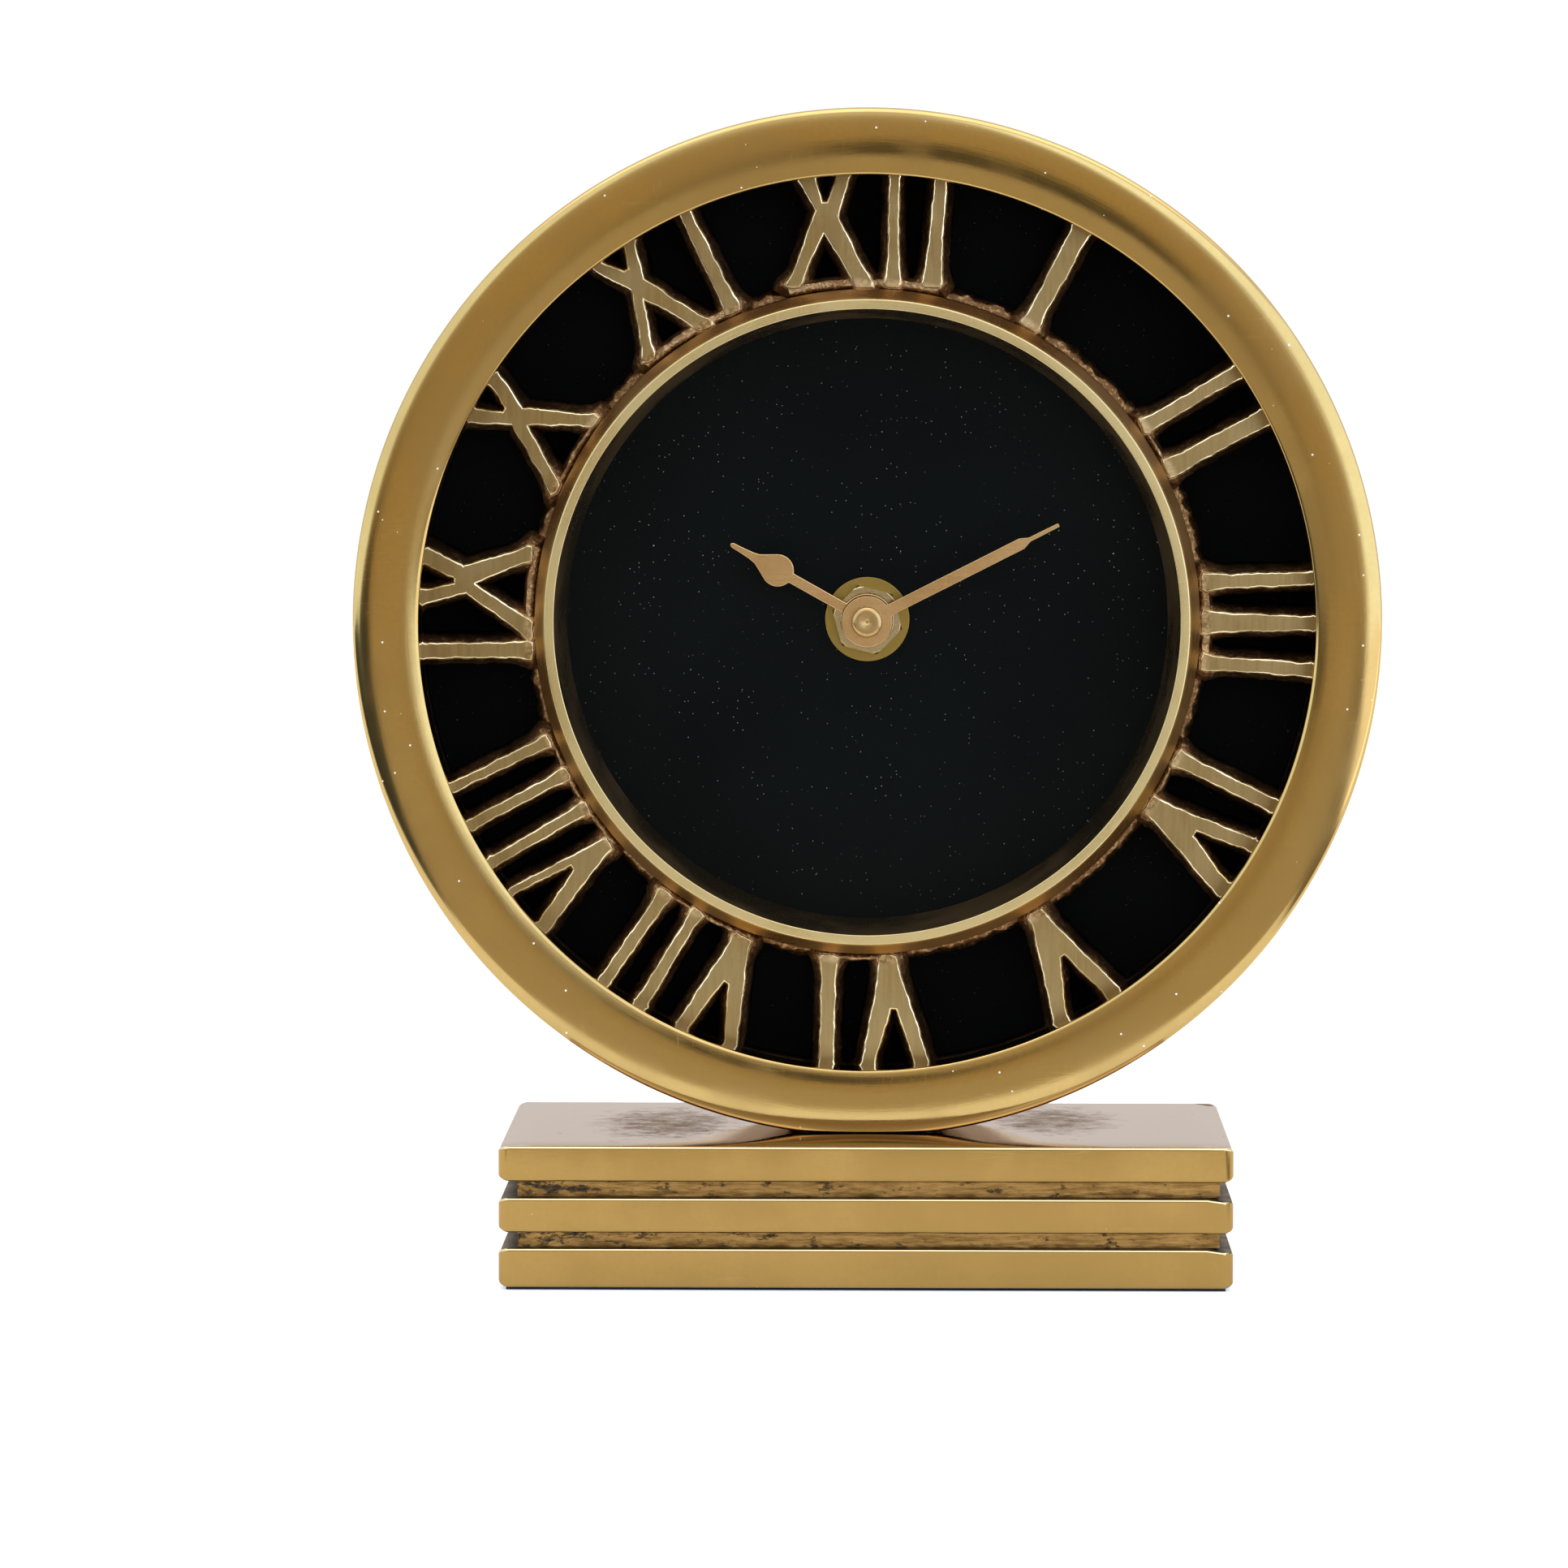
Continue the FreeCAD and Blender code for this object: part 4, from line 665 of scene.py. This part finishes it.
def grown(corners, distance):
    # Moves each side of an outline outwards and meets the moved sides again
    count = len(corners)
    lines = []
    for k in range(count):
        (x0, y0), (x1, y1) = corners[k], corners[(k + 1) % count]
        length = math.hypot(x1 - x0, y1 - y0)
        normal = ((y0 - y1) / length, (x1 - x0) / length)
        lines.append((normal, normal[0] * x0 + normal[1] * y0 + distance))
    result = []
    for k in range(count):
        (ax, ay), a = lines[k - 1]
        (bx, by), b = lines[k]
        spread = ax * by - ay * bx
        result.append(((a * by - b * ay) / spread, (ax * b - bx * a) / spread))
    return result


def castWobble(x, z, depth):
    # How far the casting strays from its outline at a place, the same for every stroke
    spot = Vector((x, z, depth * 0.25))
    slow = noise.noise_vector(spot * 0.55)
    quick = noise.noise_vector(spot * 2.1 + Vector((7.0, 3.0, 1.0)))
    return (slow.x * castShape["wobble"] + quick.x * castShape["nibble"],
            slow.y * castShape["wobble"] + quick.y * castShape["nibble"])


def strokeSolid(corners, hour):
    # One stroke, drafted towards the back, with a worn edge and gritty walls
    step = castShape["step"]
    angle = math.radians(30 * hour)
    counts = []
    for k in range(len(corners)):
        (x0, y0), (x1, y1) = corners[k], corners[(k + 1) % len(corners)]
        counts.append(max(1, round(math.hypot(x1 - x0, y1 - y0) / step)))
    bm = bmesh.new()
    ring = []
    for level, (y, grow) in enumerate(castShape["wallLevels"]):
        outline = grown(corners, grow)
        points = []
        for k, count in enumerate(counts):
            (x0, y0), (x1, y1) = outline[k], outline[(k + 1) % len(outline)]
            length = math.hypot(x1 - x0, y1 - y0)
            side = ((y0 - y1) / length, (x1 - x0) / length)
            for n in range(count):
                t = x0 + (x1 - x0) * n / count
                r = y0 + (y1 - y0) * n / count
                near = max(0.0, min(1.0, (castShape["flareFrom"] - r) / castShape["flareReach"]))
                far = max(0.0, min(1.2, r - castShape["ringFlareFrom"]))
                out = castShape["flare"] * near * near * (0.3 + 0.7 * min(1.0, max(0.0, grow) / 0.4))
                out += castShape["ringFlare"] * far * far
                if level > 3:
                    fineness = castShape["gritScale"]
                    spot = Vector((t * fineness + hour * 9, r * fineness, y * fineness))
                    out += castShape["grit"] * min(1.0, grow / 0.2) * noise.noise(spot)
                t += side[0] * out
                r += side[1] * out
                x = r * math.sin(angle) + t * math.cos(angle)
                z = r * math.cos(angle) - t * math.sin(angle)
                dx, dz = castWobble(x, z, y)
                points.append((x + dx, y, axisHeight + z + dz))
        if level == 0:
            ring = [bm.verts.new(point) for point in points]
            edges = [bm.edges.new((vert, ring[k - 1])) for k, vert in enumerate(ring)]
            bmesh.ops.contextual_create(bm, geom=edges)
            continue
        moved = bmesh.ops.extrude_edge_only(bm, edges=edges)["geom"]
        fresh = {item for item in moved if isinstance(item, bmesh.types.BMVert)}
        edges = [item for item in moved
                 if isinstance(item, bmesh.types.BMEdge) and fresh.issuperset(item.verts)]
        byPlace = {vert.co.to_tuple(4): vert for vert in fresh}
        ring = [byPlace[vert.co.to_tuple(4)] for vert in ring]
        for vert, point in zip(ring, points):
            vert.co = point
    bmesh.ops.contextual_create(bm, geom=edges)
    bmesh.ops.recalc_face_normals(bm, faces=bm.faces)
    return bm


def castingParts():
    solids = []
    ring = spun(castShape["band"], 520)
    slow, quick = castShape["bandStray"]
    for vert in ring.verts:
        radius = math.hypot(vert.co.x, vert.co.z - axisHeight)
        if radius > 45.0 and vert.co.y < 4.4:
            shift = slow * noise.noise(Vector((vert.co.x, vert.co.y * 0.7, vert.co.z)) * 0.8)
            shift += quick * noise.noise(Vector(vert.co) * 2.3)
            away = Vector((vert.co.x, 0, vert.co.z - axisHeight)).normalized()
            vert.co += away * shift
    solids.append(ring)
    solids.append(spun(castShape["rimBand"], 256))
    for hour, strokes in numeralStrokes.items():
        sides = []
        for kind, *sizes in strokes:
            for corners in strokeMakers[kind](*sizes):
                sides += [t for t, r in corners if r < castShape["readingIn"]]
                solids.append(strokeSolid(corners, hour))
        outer = castShape["footOuter"].get(hour, 45.25)
        reach = math.degrees(0.15 / castShape["readingIn"])
        start = math.degrees(min(sides) / castShape["readingIn"]) + reach
        sweep = math.degrees(max(sides) / castShape["readingIn"]) - reach - start
        solids.append(footSolid(30 * hour + start, sweep, outer))
    return solids


def footSolid(start, sweep, outer):
    # The full height arc that ties the feet of one numeral together
    inner = castShape["footInner"]
    bm = bmesh.new()
    top = castShape["footFront"]
    outline = [(inner, top + 0.75), (inner + 0.2, top + 0.3), (inner + 0.5, top + 0.05),
               (inner + 0.75, top), (outer, top + 0.08), (outer + 0.2, top + 0.4), (outer + 0.35, -2.5),
               (outer + 0.6, 0.5), (inner, 0.5)]
    corners = [bm.verts.new((0, y, axisHeight + radius)) for radius, y in outline]
    face = bmesh.ops.contextual_create(bm, geom=corners)["faces"]
    bmesh.ops.rotate(bm, verts=bm.verts, cent=(0, 0, axisHeight), matrix=turnAbout(start))
    steps = max(2, round(sweep / 0.6))
    bmesh.ops.spin(bm, geom=face, cent=(0, 0, axisHeight), axis=(0, 1, 0), angle=math.radians(sweep),
                   steps=steps)
    bmesh.ops.remove_doubles(bm, verts=bm.verts, dist=0.0005)
    for vert in bm.verts:
        radius = math.hypot(vert.co.x, vert.co.z - axisHeight)
        if radius > inner + 0.2 and vert.co.y < 0.4:
            dx, dz = castWobble(vert.co.x, vert.co.z - axisHeight, vert.co.y)
            vert.co.x += castShape["footStray"] * dx
            vert.co.z += castShape["footStray"] * dz
            if vert.co.y < -3.5:
                dent = noise.noise(Vector((vert.co.x, 0.0, vert.co.z)) * 2.6)
                vert.co.y += castShape["crestDent"] * dent
    bmesh.ops.recalc_face_normals(bm, faces=bm.faces)
    return bm


def turnAbout(degrees):
    return Matrix.Rotation(math.radians(degrees), 3, "Y")


castSolids = castingParts()
casting = combined(castSolids[0], castSolids[1:], "UNION")
bmesh.ops.remove_doubles(casting, verts=casting.verts, dist=0.0008)
finishPiece("numeralCasting", casting, "numeral_ring", "cast_brass", 40.0)
print("numeral casting made")


# The collar round the dial
collarShape = [(41.85, -5.8), (43.1, -5.8), (43.45, -5.35), (44.5, -4.2), (44.5, 4.55), (46.0, 4.55),
               (46.0, 5.5), (40.55, 5.5)]
collar = soften(spun(collarShape, 320), 0.12, 3, 15.0)
finishPiece("dialCollar", collar, "dial_collar", "collar_brass")
print("collar made")


# The base
baseShape = {
    "halfWidth": 48.5, "halfDepth": 23.0, "corner": 1.4, "edge": 0.38, "endRound": 1.4, "endDrop": 0.5,
    "cornerSteps": 9, "slices": 60, "rollFrom": 14.0, "rollDrop": 0.16, "rollSlices": 14,
    "edgeStray": 0.035, "faceStray": 0.012, "lowerStray": 0.07, "strayWithin": 46.0, "notchFrom": 46.6,
    "notchDrop": 0.3,
    "slabs": {"base_bottom_slab": (0.4, 5.6), "base_middle_slab": (7.7, 12.3), "base_top_slab": (14.5, 19.3)},
    "spacers": {"base_lower_spacer": (5.6, 7.7), "base_upper_spacer": (12.3, 14.5)},
    "grooveLeft": 2.5, "grooveRight": 1.75, "grooveFront": 2.0, "grooveSlices": (200, 6),
    "grooveRough": (0.1, 0.06), "grooveSink": 0.04, "seatGap": 0.22, "seatFrom": 67.0,
}


def blockBetween(x0, x1, y0, y1, z0, z1):
    bm = bmesh.new()
    bmesh.ops.create_cube(bm, size=1.0)
    bmesh.ops.scale(bm, vec=(x1 - x0, y1 - y0, z1 - z0), verts=bm.verts)
    bmesh.ops.translate(bm, vec=((x0 + x1) / 2, (y0 + y1) / 2, (z0 + z1) / 2), verts=bm.verts)
    return bm


def sliced(bm, axis, low, high, count):
    # Cuts a block across so that its long edges can stray a little
    normal = [0.0, 0.0, 0.0]
    normal[axis] = 1.0
    for k in range(1, count):
        point = [0.0, 0.0, 0.0]
        point[axis] = low + (high - low) * k / count
        bmesh.ops.bisect_plane(bm, geom=bm.verts[:] + bm.edges[:] + bm.faces[:], plane_co=point,
                               plane_no=normal)
    return bm


def makeSlab(node, z0, z1):
    halfWidth, halfDepth = baseShape["halfWidth"], baseShape["halfDepth"]
    bm = blockBetween(-halfWidth, halfWidth, -halfDepth, halfDepth, z0, z1)
    upright = [edge for edge in bm.edges if abs(edge.verts[0].co.z - edge.verts[1].co.z) > 1.0]
    bmesh.ops.bevel(bm, geom=upright, offset=baseShape["corner"], segments=baseShape["cornerSteps"],
                    profile=0.5, affect="EDGES", material=-1)
    flat = [edge for edge in bm.edges if abs(edge.verts[0].co.z - edge.verts[1].co.z) < 0.01]
    bmesh.ops.bevel(bm, geom=flat, offset=baseShape["edge"], segments=3, profile=0.5, affect="EDGES",
                    material=-1)
    sliced(bm, 0, -halfWidth + 2, halfWidth - 2, baseShape["slices"])
    if node == "base_top_slab":
        sliced(bm, 1, -halfDepth, -baseShape["rollFrom"], baseShape["rollSlices"])
    for vert in bm.verts:
        past = max(0.0, abs(vert.co.x) - halfWidth + baseShape["endRound"]) / baseShape["endRound"]
        drop = baseShape["endDrop"] * past * past
        if node == "base_top_slab" and vert.co.z > z1 - 0.5:
            forward = max(0.0, -baseShape["rollFrom"] - vert.co.y) / (halfDepth - baseShape["rollFrom"])
            vert.co.z -= baseShape["rollDrop"] * forward ** 5
        vert.co.z += drop * (1 - 2 * (vert.co.z - z0) / (z1 - z0))
        atEdge = min(abs(vert.co.z - z0), abs(vert.co.z - z1)) < 0.45
        stray = baseShape["edgeStray"] if atEdge else baseShape["faceStray"]
        spot = vert.co * 0.35
        flatPart = min(1.0, max(0.0, baseShape["strayWithin"] - abs(vert.co.x)))
        flatPart *= min(1.0, max(0.0, abs(vert.co.y) - halfDepth + 1.0))
        vert.co.y += 0.5 * stray * noise.noise(spot) * flatPart
        vert.co.y = max(-halfDepth, min(halfDepth, vert.co.y))
        if vert.co.z < z0 + 0.4 and node != "base_bottom_slab":
            vert.co.z += baseShape["lowerStray"] * max(0.0, noise.noise(vert.co * 1.7))
        frontRight = vert.co.y < -20 and vert.co.x > baseShape["notchFrom"]
        if node != "base_top_slab" and vert.co.z > z1 - 0.4 and frontRight:
            vert.co.z -= baseShape["notchDrop"]
    if node == "base_top_slab":
        seat = baseShape["seatGap"]
        outline = [(0.0, ringShape["front"] - seat), (ringShape["outer"] - 1.4, ringShape["front"] - seat)]
        outline += [(radius + seat, y - seat) for radius, y in ringFace(ringShape)
                    if radius > baseShape["seatFrom"]]
        outline += [(ringShape["outer"] + seat, ringShape["back"]), (0.0, ringShape["back"])]
        bmesh.ops.recalc_face_normals(bm, faces=bm.faces)
        cutter = spun(outline, 384, closed=False)
        bmesh.ops.recalc_face_normals(cutter, faces=cutter.faces)
        bm = combined(bm, [cutter], "DIFFERENCE")
    finishPiece(node.replace("_", ""), bm, node, "base_brass")


def makeSpacer(node, z0, z1):
    x0 = -baseShape["halfWidth"] + baseShape["grooveLeft"]
    x1 = baseShape["halfWidth"] - baseShape["grooveRight"]
    y0 = -baseShape["halfDepth"] + baseShape["grooveFront"]
    along, upwards = baseShape["grooveSlices"]
    coarse, fine = baseShape["grooveRough"]
    bm = blockBetween(x0, x1, y0, -y0, z0, z1)
    sliced(bm, 0, x0, x1, along)
    sliced(bm, 2, z0, z1, upwards)
    for vert in bm.verts:
        if abs(vert.co.y) > -y0 - 0.01:
            rough = coarse * noise.noise(Vector((vert.co.x * 0.5, vert.co.z * 2.5, 3.0)))
            rough += fine * noise.noise(Vector((vert.co.x * 2.2, vert.co.z * 3.5, 9.0)))
            vert.co.y += math.copysign(min(0.0, rough - baseShape["grooveSink"]), vert.co.y)
    finishPiece(node.replace("_", ""), bm, node, "groove_brass", 25.0)


for node, (z0, z1) in baseShape["slabs"].items():
    makeSlab(node, z0, z1)
for node, (z0, z1) in baseShape["spacers"].items():
    makeSpacer(node, z0, z1)
print("base made")


# Hands and what holds them
def finishedCopy(node, name, material, width, segments=2):
    finishPiece(name, soften(cadCopy(node), width, segments), node, material)


def makeHexNut(shape):
    # Six flats whose corners alone are turned down, and soft edges
    middle = (0, (shape["front"] + shape["back"]) / 2, axisHeight)
    corner = shape["acrossFlats"] / 2 / math.cos(math.radians(30))
    bm = bmesh.new()
    bmesh.ops.create_cone(bm, cap_ends=True, segments=6, radius1=corner, radius2=corner,
                          depth=shape["back"] - shape["front"])
    bmesh.ops.rotate(bm, verts=bm.verts, cent=(0, 0, 0), matrix=Matrix.Rotation(math.radians(90), 3, "X"))
    bmesh.ops.rotate(bm, verts=bm.verts, cent=(0, 0, 0), matrix=turnAbout(shape["turn"]))
    bmesh.ops.translate(bm, vec=middle, verts=bm.verts)
    flat = shape["acrossFlats"] / 2
    front, back, bore = shape["front"], shape["back"], shape["bore"]
    form = spun([(0, front - 0.01), (flat + 0.25, front - 0.01), (flat + 0.5, front + 0.2),
                 (flat + 0.8, front + 0.7), (flat + 0.8, back + 1), (0, back + 1)], 96, closed=False)
    hole = spun([(0, front - 1), (bore + 1.3, front - 1), (bore, front + 0.3), (bore, back + 1),
                 (0, back + 1)], 96, closed=False)
    bm = combined(combined(bm, [form], "INTERSECT"), [hole], "DIFFERENCE")
    finishPiece("hexNut", soften(bm, 0.1, 3, 25.0), "hex_nut", "nut_brass")


finishedCopy("hour_hand", "hourHand", "hand_brass", 0.15, 3)
finishedCopy("minute_hand", "minuteHand", "hand_brass", 0.15, 3)
finishedCopy("dial_washer", "dialWasher", "washer_brass", 0.08)
nutShape = {"front": 3.0, "back": 5.0, "acrossFlats": 8.4, "turn": 44.5, "bore": 3.12}
makeHexNut(nutShape)
capOutline = [(0.0, -3.0), (0.16, -3.02), (0.3, -3.16), (0.42, -3.2), (1.5, -3.2), (1.62, -3.19),
              (1.9, -3.05), (2.05, -2.85), (2.05, -1.1), (0.9, -1.1), (0.9, -2.3), (0.0, -2.3)]
finishPiece("capNut", spun(capOutline, 96, closed=False), "hand_cap_nut", "cap_brass")
print("hands made")


# Back and inside
for node, width in {"back_plate_screws": 0.12, "setting_knob": 0.15, "movement_cover": 0.15}.items():
    finishedCopy(node, node.replace("_", ""), slotOf[node], width)
replaced = set()
for piece in scene.objects:
    replaced.update(piece.get("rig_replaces", []))
for node, piece in frame["nodes"].items():
    if node in replaced:
        continue
    piece.data.materials.clear()
    piece.data.materials.append(finishes[slotOf[node]])
print("packed nodes dressed", len(frame["nodes"]) - len(replaced))


# Floor, lights and surroundings
# Angles in degrees: across from straight ahead, rise above the horizon, and the softness of an edge last
studio = {
    "front": (0.535, 0.425, 0.26), "high": (0.97, 1.0, 1.05), "highRise": (-3.0, 30.0),
    "top": (2.4, 2.45, 2.7), "topRise": (34.0, 62.0), "behind": (1.05, 1.1, 1.2), "behindFrom": (0.1, 0.45),
    "backdrop": (1.05, 1.1, 1.2),
    "boxes": [{"across": (6.5, 112.0, 3.0), "rise": (-11.0, 36.0, 4.0), "light": (1.65, 1.95, 2.5)},
              {"across": (-112.0, -14.0, 4.0), "rise": (-12.0, 42.0, 3.0), "light": (1.3, 1.5, 1.75)}],
    "shade": {"slant": 2.6, "from": (-20.0, -11.0), "until": (-7.5, -4.5), "rise": (-60.0, -1.2, 1.6),
              "light": (0.07, 0.065, 0.06)},
    "paper": ((0.665, 0.64, 0.585), (0.65, 0.625, 0.57)), "paperGlow": (0.9, 1.0, 1.25), "floorGlow": 0.45,
    "cameraCard": (0.008, -0.96, 0.088), "cardRadius": 0.028, "cardStretch": (1.0, 0.3, 1.35),
    "lights": {"softLeft": ((-0.9, -0.5, 1.1), (0, 0, 0.05), 0.9, 1.0),
               "softRight": ((0.9, -0.5, 1.1), (0, 0, 0.05), 0.9, 1.0),
               "softTop": ((0.0, 0.9, 2.0), (0, 0.6, 0.0), 2.5, 9.0)},
}
floorCards = {
    "height": 0.0002, "palePast": (-0.232, -0.218), "paleGlow": 0.2, "tan": (0.33, 0.27, 0.18),
    "gapAcross": (0.118, 0.19, 0.01), "gapBack": (-0.06, -0.03), "gap": (0.16, 0.13, 0.09),
    "litAcross": (0.18, 0.21), "litForward": (0.06, 0.14), "litGlow": 1.1,
    "darkAcross": (-0.112, -0.09), "darkLean": 0.06, "darkForward": (0.14, 0.19), "dark": (0.02, 0.02, 0.02),
}


def levelSheet(name, height):
    bm = bmesh.new()
    bmesh.ops.create_grid(bm, x_segments=2, y_segments=2, size=1.5)
    bmesh.ops.translate(bm, vec=(0, 0, height), verts=bm.verts)
    sheet = looseObject(bm, name)
    material, tree, shader, place = startMaterial(name + "Paper")
    paper = noiseValue(tree, place, 40.0, 3.0)
    white = mixColour(tree, ranged(tree, paper, 0.3, 0.7), *studio["paper"])
    shader.inputs["Emission Color"].default_value = (*studio["paperGlow"], 1.0)
    shader.inputs["Roughness"].default_value = 0.8
    shader.inputs["Specular IOR Level"].default_value = 0.1
    sheet.data.materials.append(material)
    return sheet, tree, shader, place, white


def makeFloor():
    floor, tree, shader, place, white = levelSheet("floor", 0.0)
    tree.links.new(white, shader.inputs["Base Color"])
    shader.inputs["Emission Strength"].default_value = studio["floorGlow"]


def mirroredOnly(piece):
    # A card of the studio that shows in the brass and nowhere else
    piece.visible_camera = False
    piece.visible_diffuse = False
    piece.visible_shadow = False
    piece.visible_transmission = False


def makeFloorCards(shape):
    # Tan cards and a dark card that lie on the floor towards the camera, and a lit one to the right; the dark
    # card is painted shade
    cards, tree, shader, place, white = levelSheet("floorCards", shape["height"])
    mirroredOnly(cards)
    split = apart(tree, place)
    forward = times(tree, split[1], -1.0)
    near = ranged(tree, split[1], *shape["palePast"])
    gap = times(tree, span(tree, split[0], *shape["gapAcross"]),
                ranged(tree, split[1], *shape["gapBack"], 1.0, 0.0))
    pale = times(tree, near, mathNode(tree, "SUBTRACT", 1.0, gap))
    lit = times(tree, ranged(tree, split[0], *shape["litAcross"]),
                ranged(tree, forward, *shape["litForward"]))
    aside = times(tree, forward, shape["darkLean"])
    dark = ranged(tree, plus(tree, split[0], aside), *shape["darkAcross"], 1.0, 0.0)
    dark = times(tree, dark, ranged(tree, forward, *shape["darkForward"]))
    colour = mixColour(tree, pale, shape["tan"], white)
    colour = mixColour(tree, gap, colour, shape["gap"])
    colour = mixColour(tree, dark, colour, shape["dark"])
    tree.links.new(colour, shader.inputs["Base Color"])
    glow = plus(tree, times(tree, lit, shape["litGlow"]), times(tree, pale, shape["paleGlow"]))
    tree.links.new(glow, shader.inputs["Emission Strength"])


def softLight(name, place, aim, size, power):
    # Lights paper and dull surfaces, and the surroundings below give the reflections
    data = bpy.data.lights.new(name, "AREA")
    data.shape = "SQUARE"
    data.size = size
    data.energy = power
    light = bpy.data.objects.new(name, data)
    scene.collection.objects.link(light)
    light.location = place
    light.rotation_euler = (Vector(aim) - Vector(place)).to_track_quat("-Z", "Y").to_euler()
    light.visible_camera = False
    light.visible_glossy = False


def makeCameraCard():
    # A dark rounded card behind the camera, which the ring mirrors
    bm = bmesh.new()
    bmesh.ops.create_uvsphere(bm, u_segments=32, v_segments=16, radius=studio["cardRadius"])
    bmesh.ops.scale(bm, vec=studio["cardStretch"], verts=bm.verts)
    bmesh.ops.translate(bm, vec=studio["cameraCard"], verts=bm.verts)
    card = looseObject(bm, "cameraCard")
    card.data.materials.append(finishes["rubber"])
    mirroredOnly(card)


def makeSurroundings():
    # Dim in front between a tall soft box on either side, bright behind and above, plain where it is seen
    world = bpy.data.worlds.new("studio")
    scene.world = world
    world.use_nodes = True
    tree = world.node_tree
    back = tree.nodes["Background"]
    split = apart(tree, addNode(tree, "TexCoord").outputs["Generated"])
    forward = times(tree, split[1], -1.0)
    perRadian = math.degrees(1.0)
    across = times(tree, mathNode(tree, "ARCTAN2", split[0], forward), perRadian)
    rise = times(tree, mathNode(tree, "ARCSINE", split[2]), perRadian)
    level = mixColour(tree, ranged(tree, rise, *studio["highRise"]), studio["front"], studio["high"])
    level = mixColour(tree, ranged(tree, rise, *studio["topRise"]), level, studio["top"])
    for box in studio["boxes"]:
        share = times(tree, span(tree, across, *box["across"]), span(tree, rise, *box["rise"]))
        level = mixColour(tree, share, level, box["light"])
    shade = studio["shade"]
    slanted = mathNode(tree, "SUBTRACT", across, times(tree, rise, shade["slant"]))
    share = times(tree, ranged(tree, slanted, *shade["from"]),
                  ranged(tree, across, *shade["until"], 1.0, 0.0))
    share = times(tree, share, span(tree, rise, *shade["rise"]))
    level = mixColour(tree, share, level, shade["light"])
    level = mixColour(tree, ranged(tree, split[1], *studio["behindFrom"]), level, studio["behind"])
    seen = addNode(tree, "LightPath").outputs["Is Camera Ray"]
    level = mixColour(tree, seen, level, studio["backdrop"])
    tree.links.new(level, back.inputs["Color"])
    back.inputs["Strength"].default_value = 1.0


makeFloor()
makeFloorCards(floorCards)
makeCameraCard()
makeSurroundings()
for name, (place, aim, size, power) in studio["lights"].items():
    softLight(name, place, aim, size, power)
print("stage made")
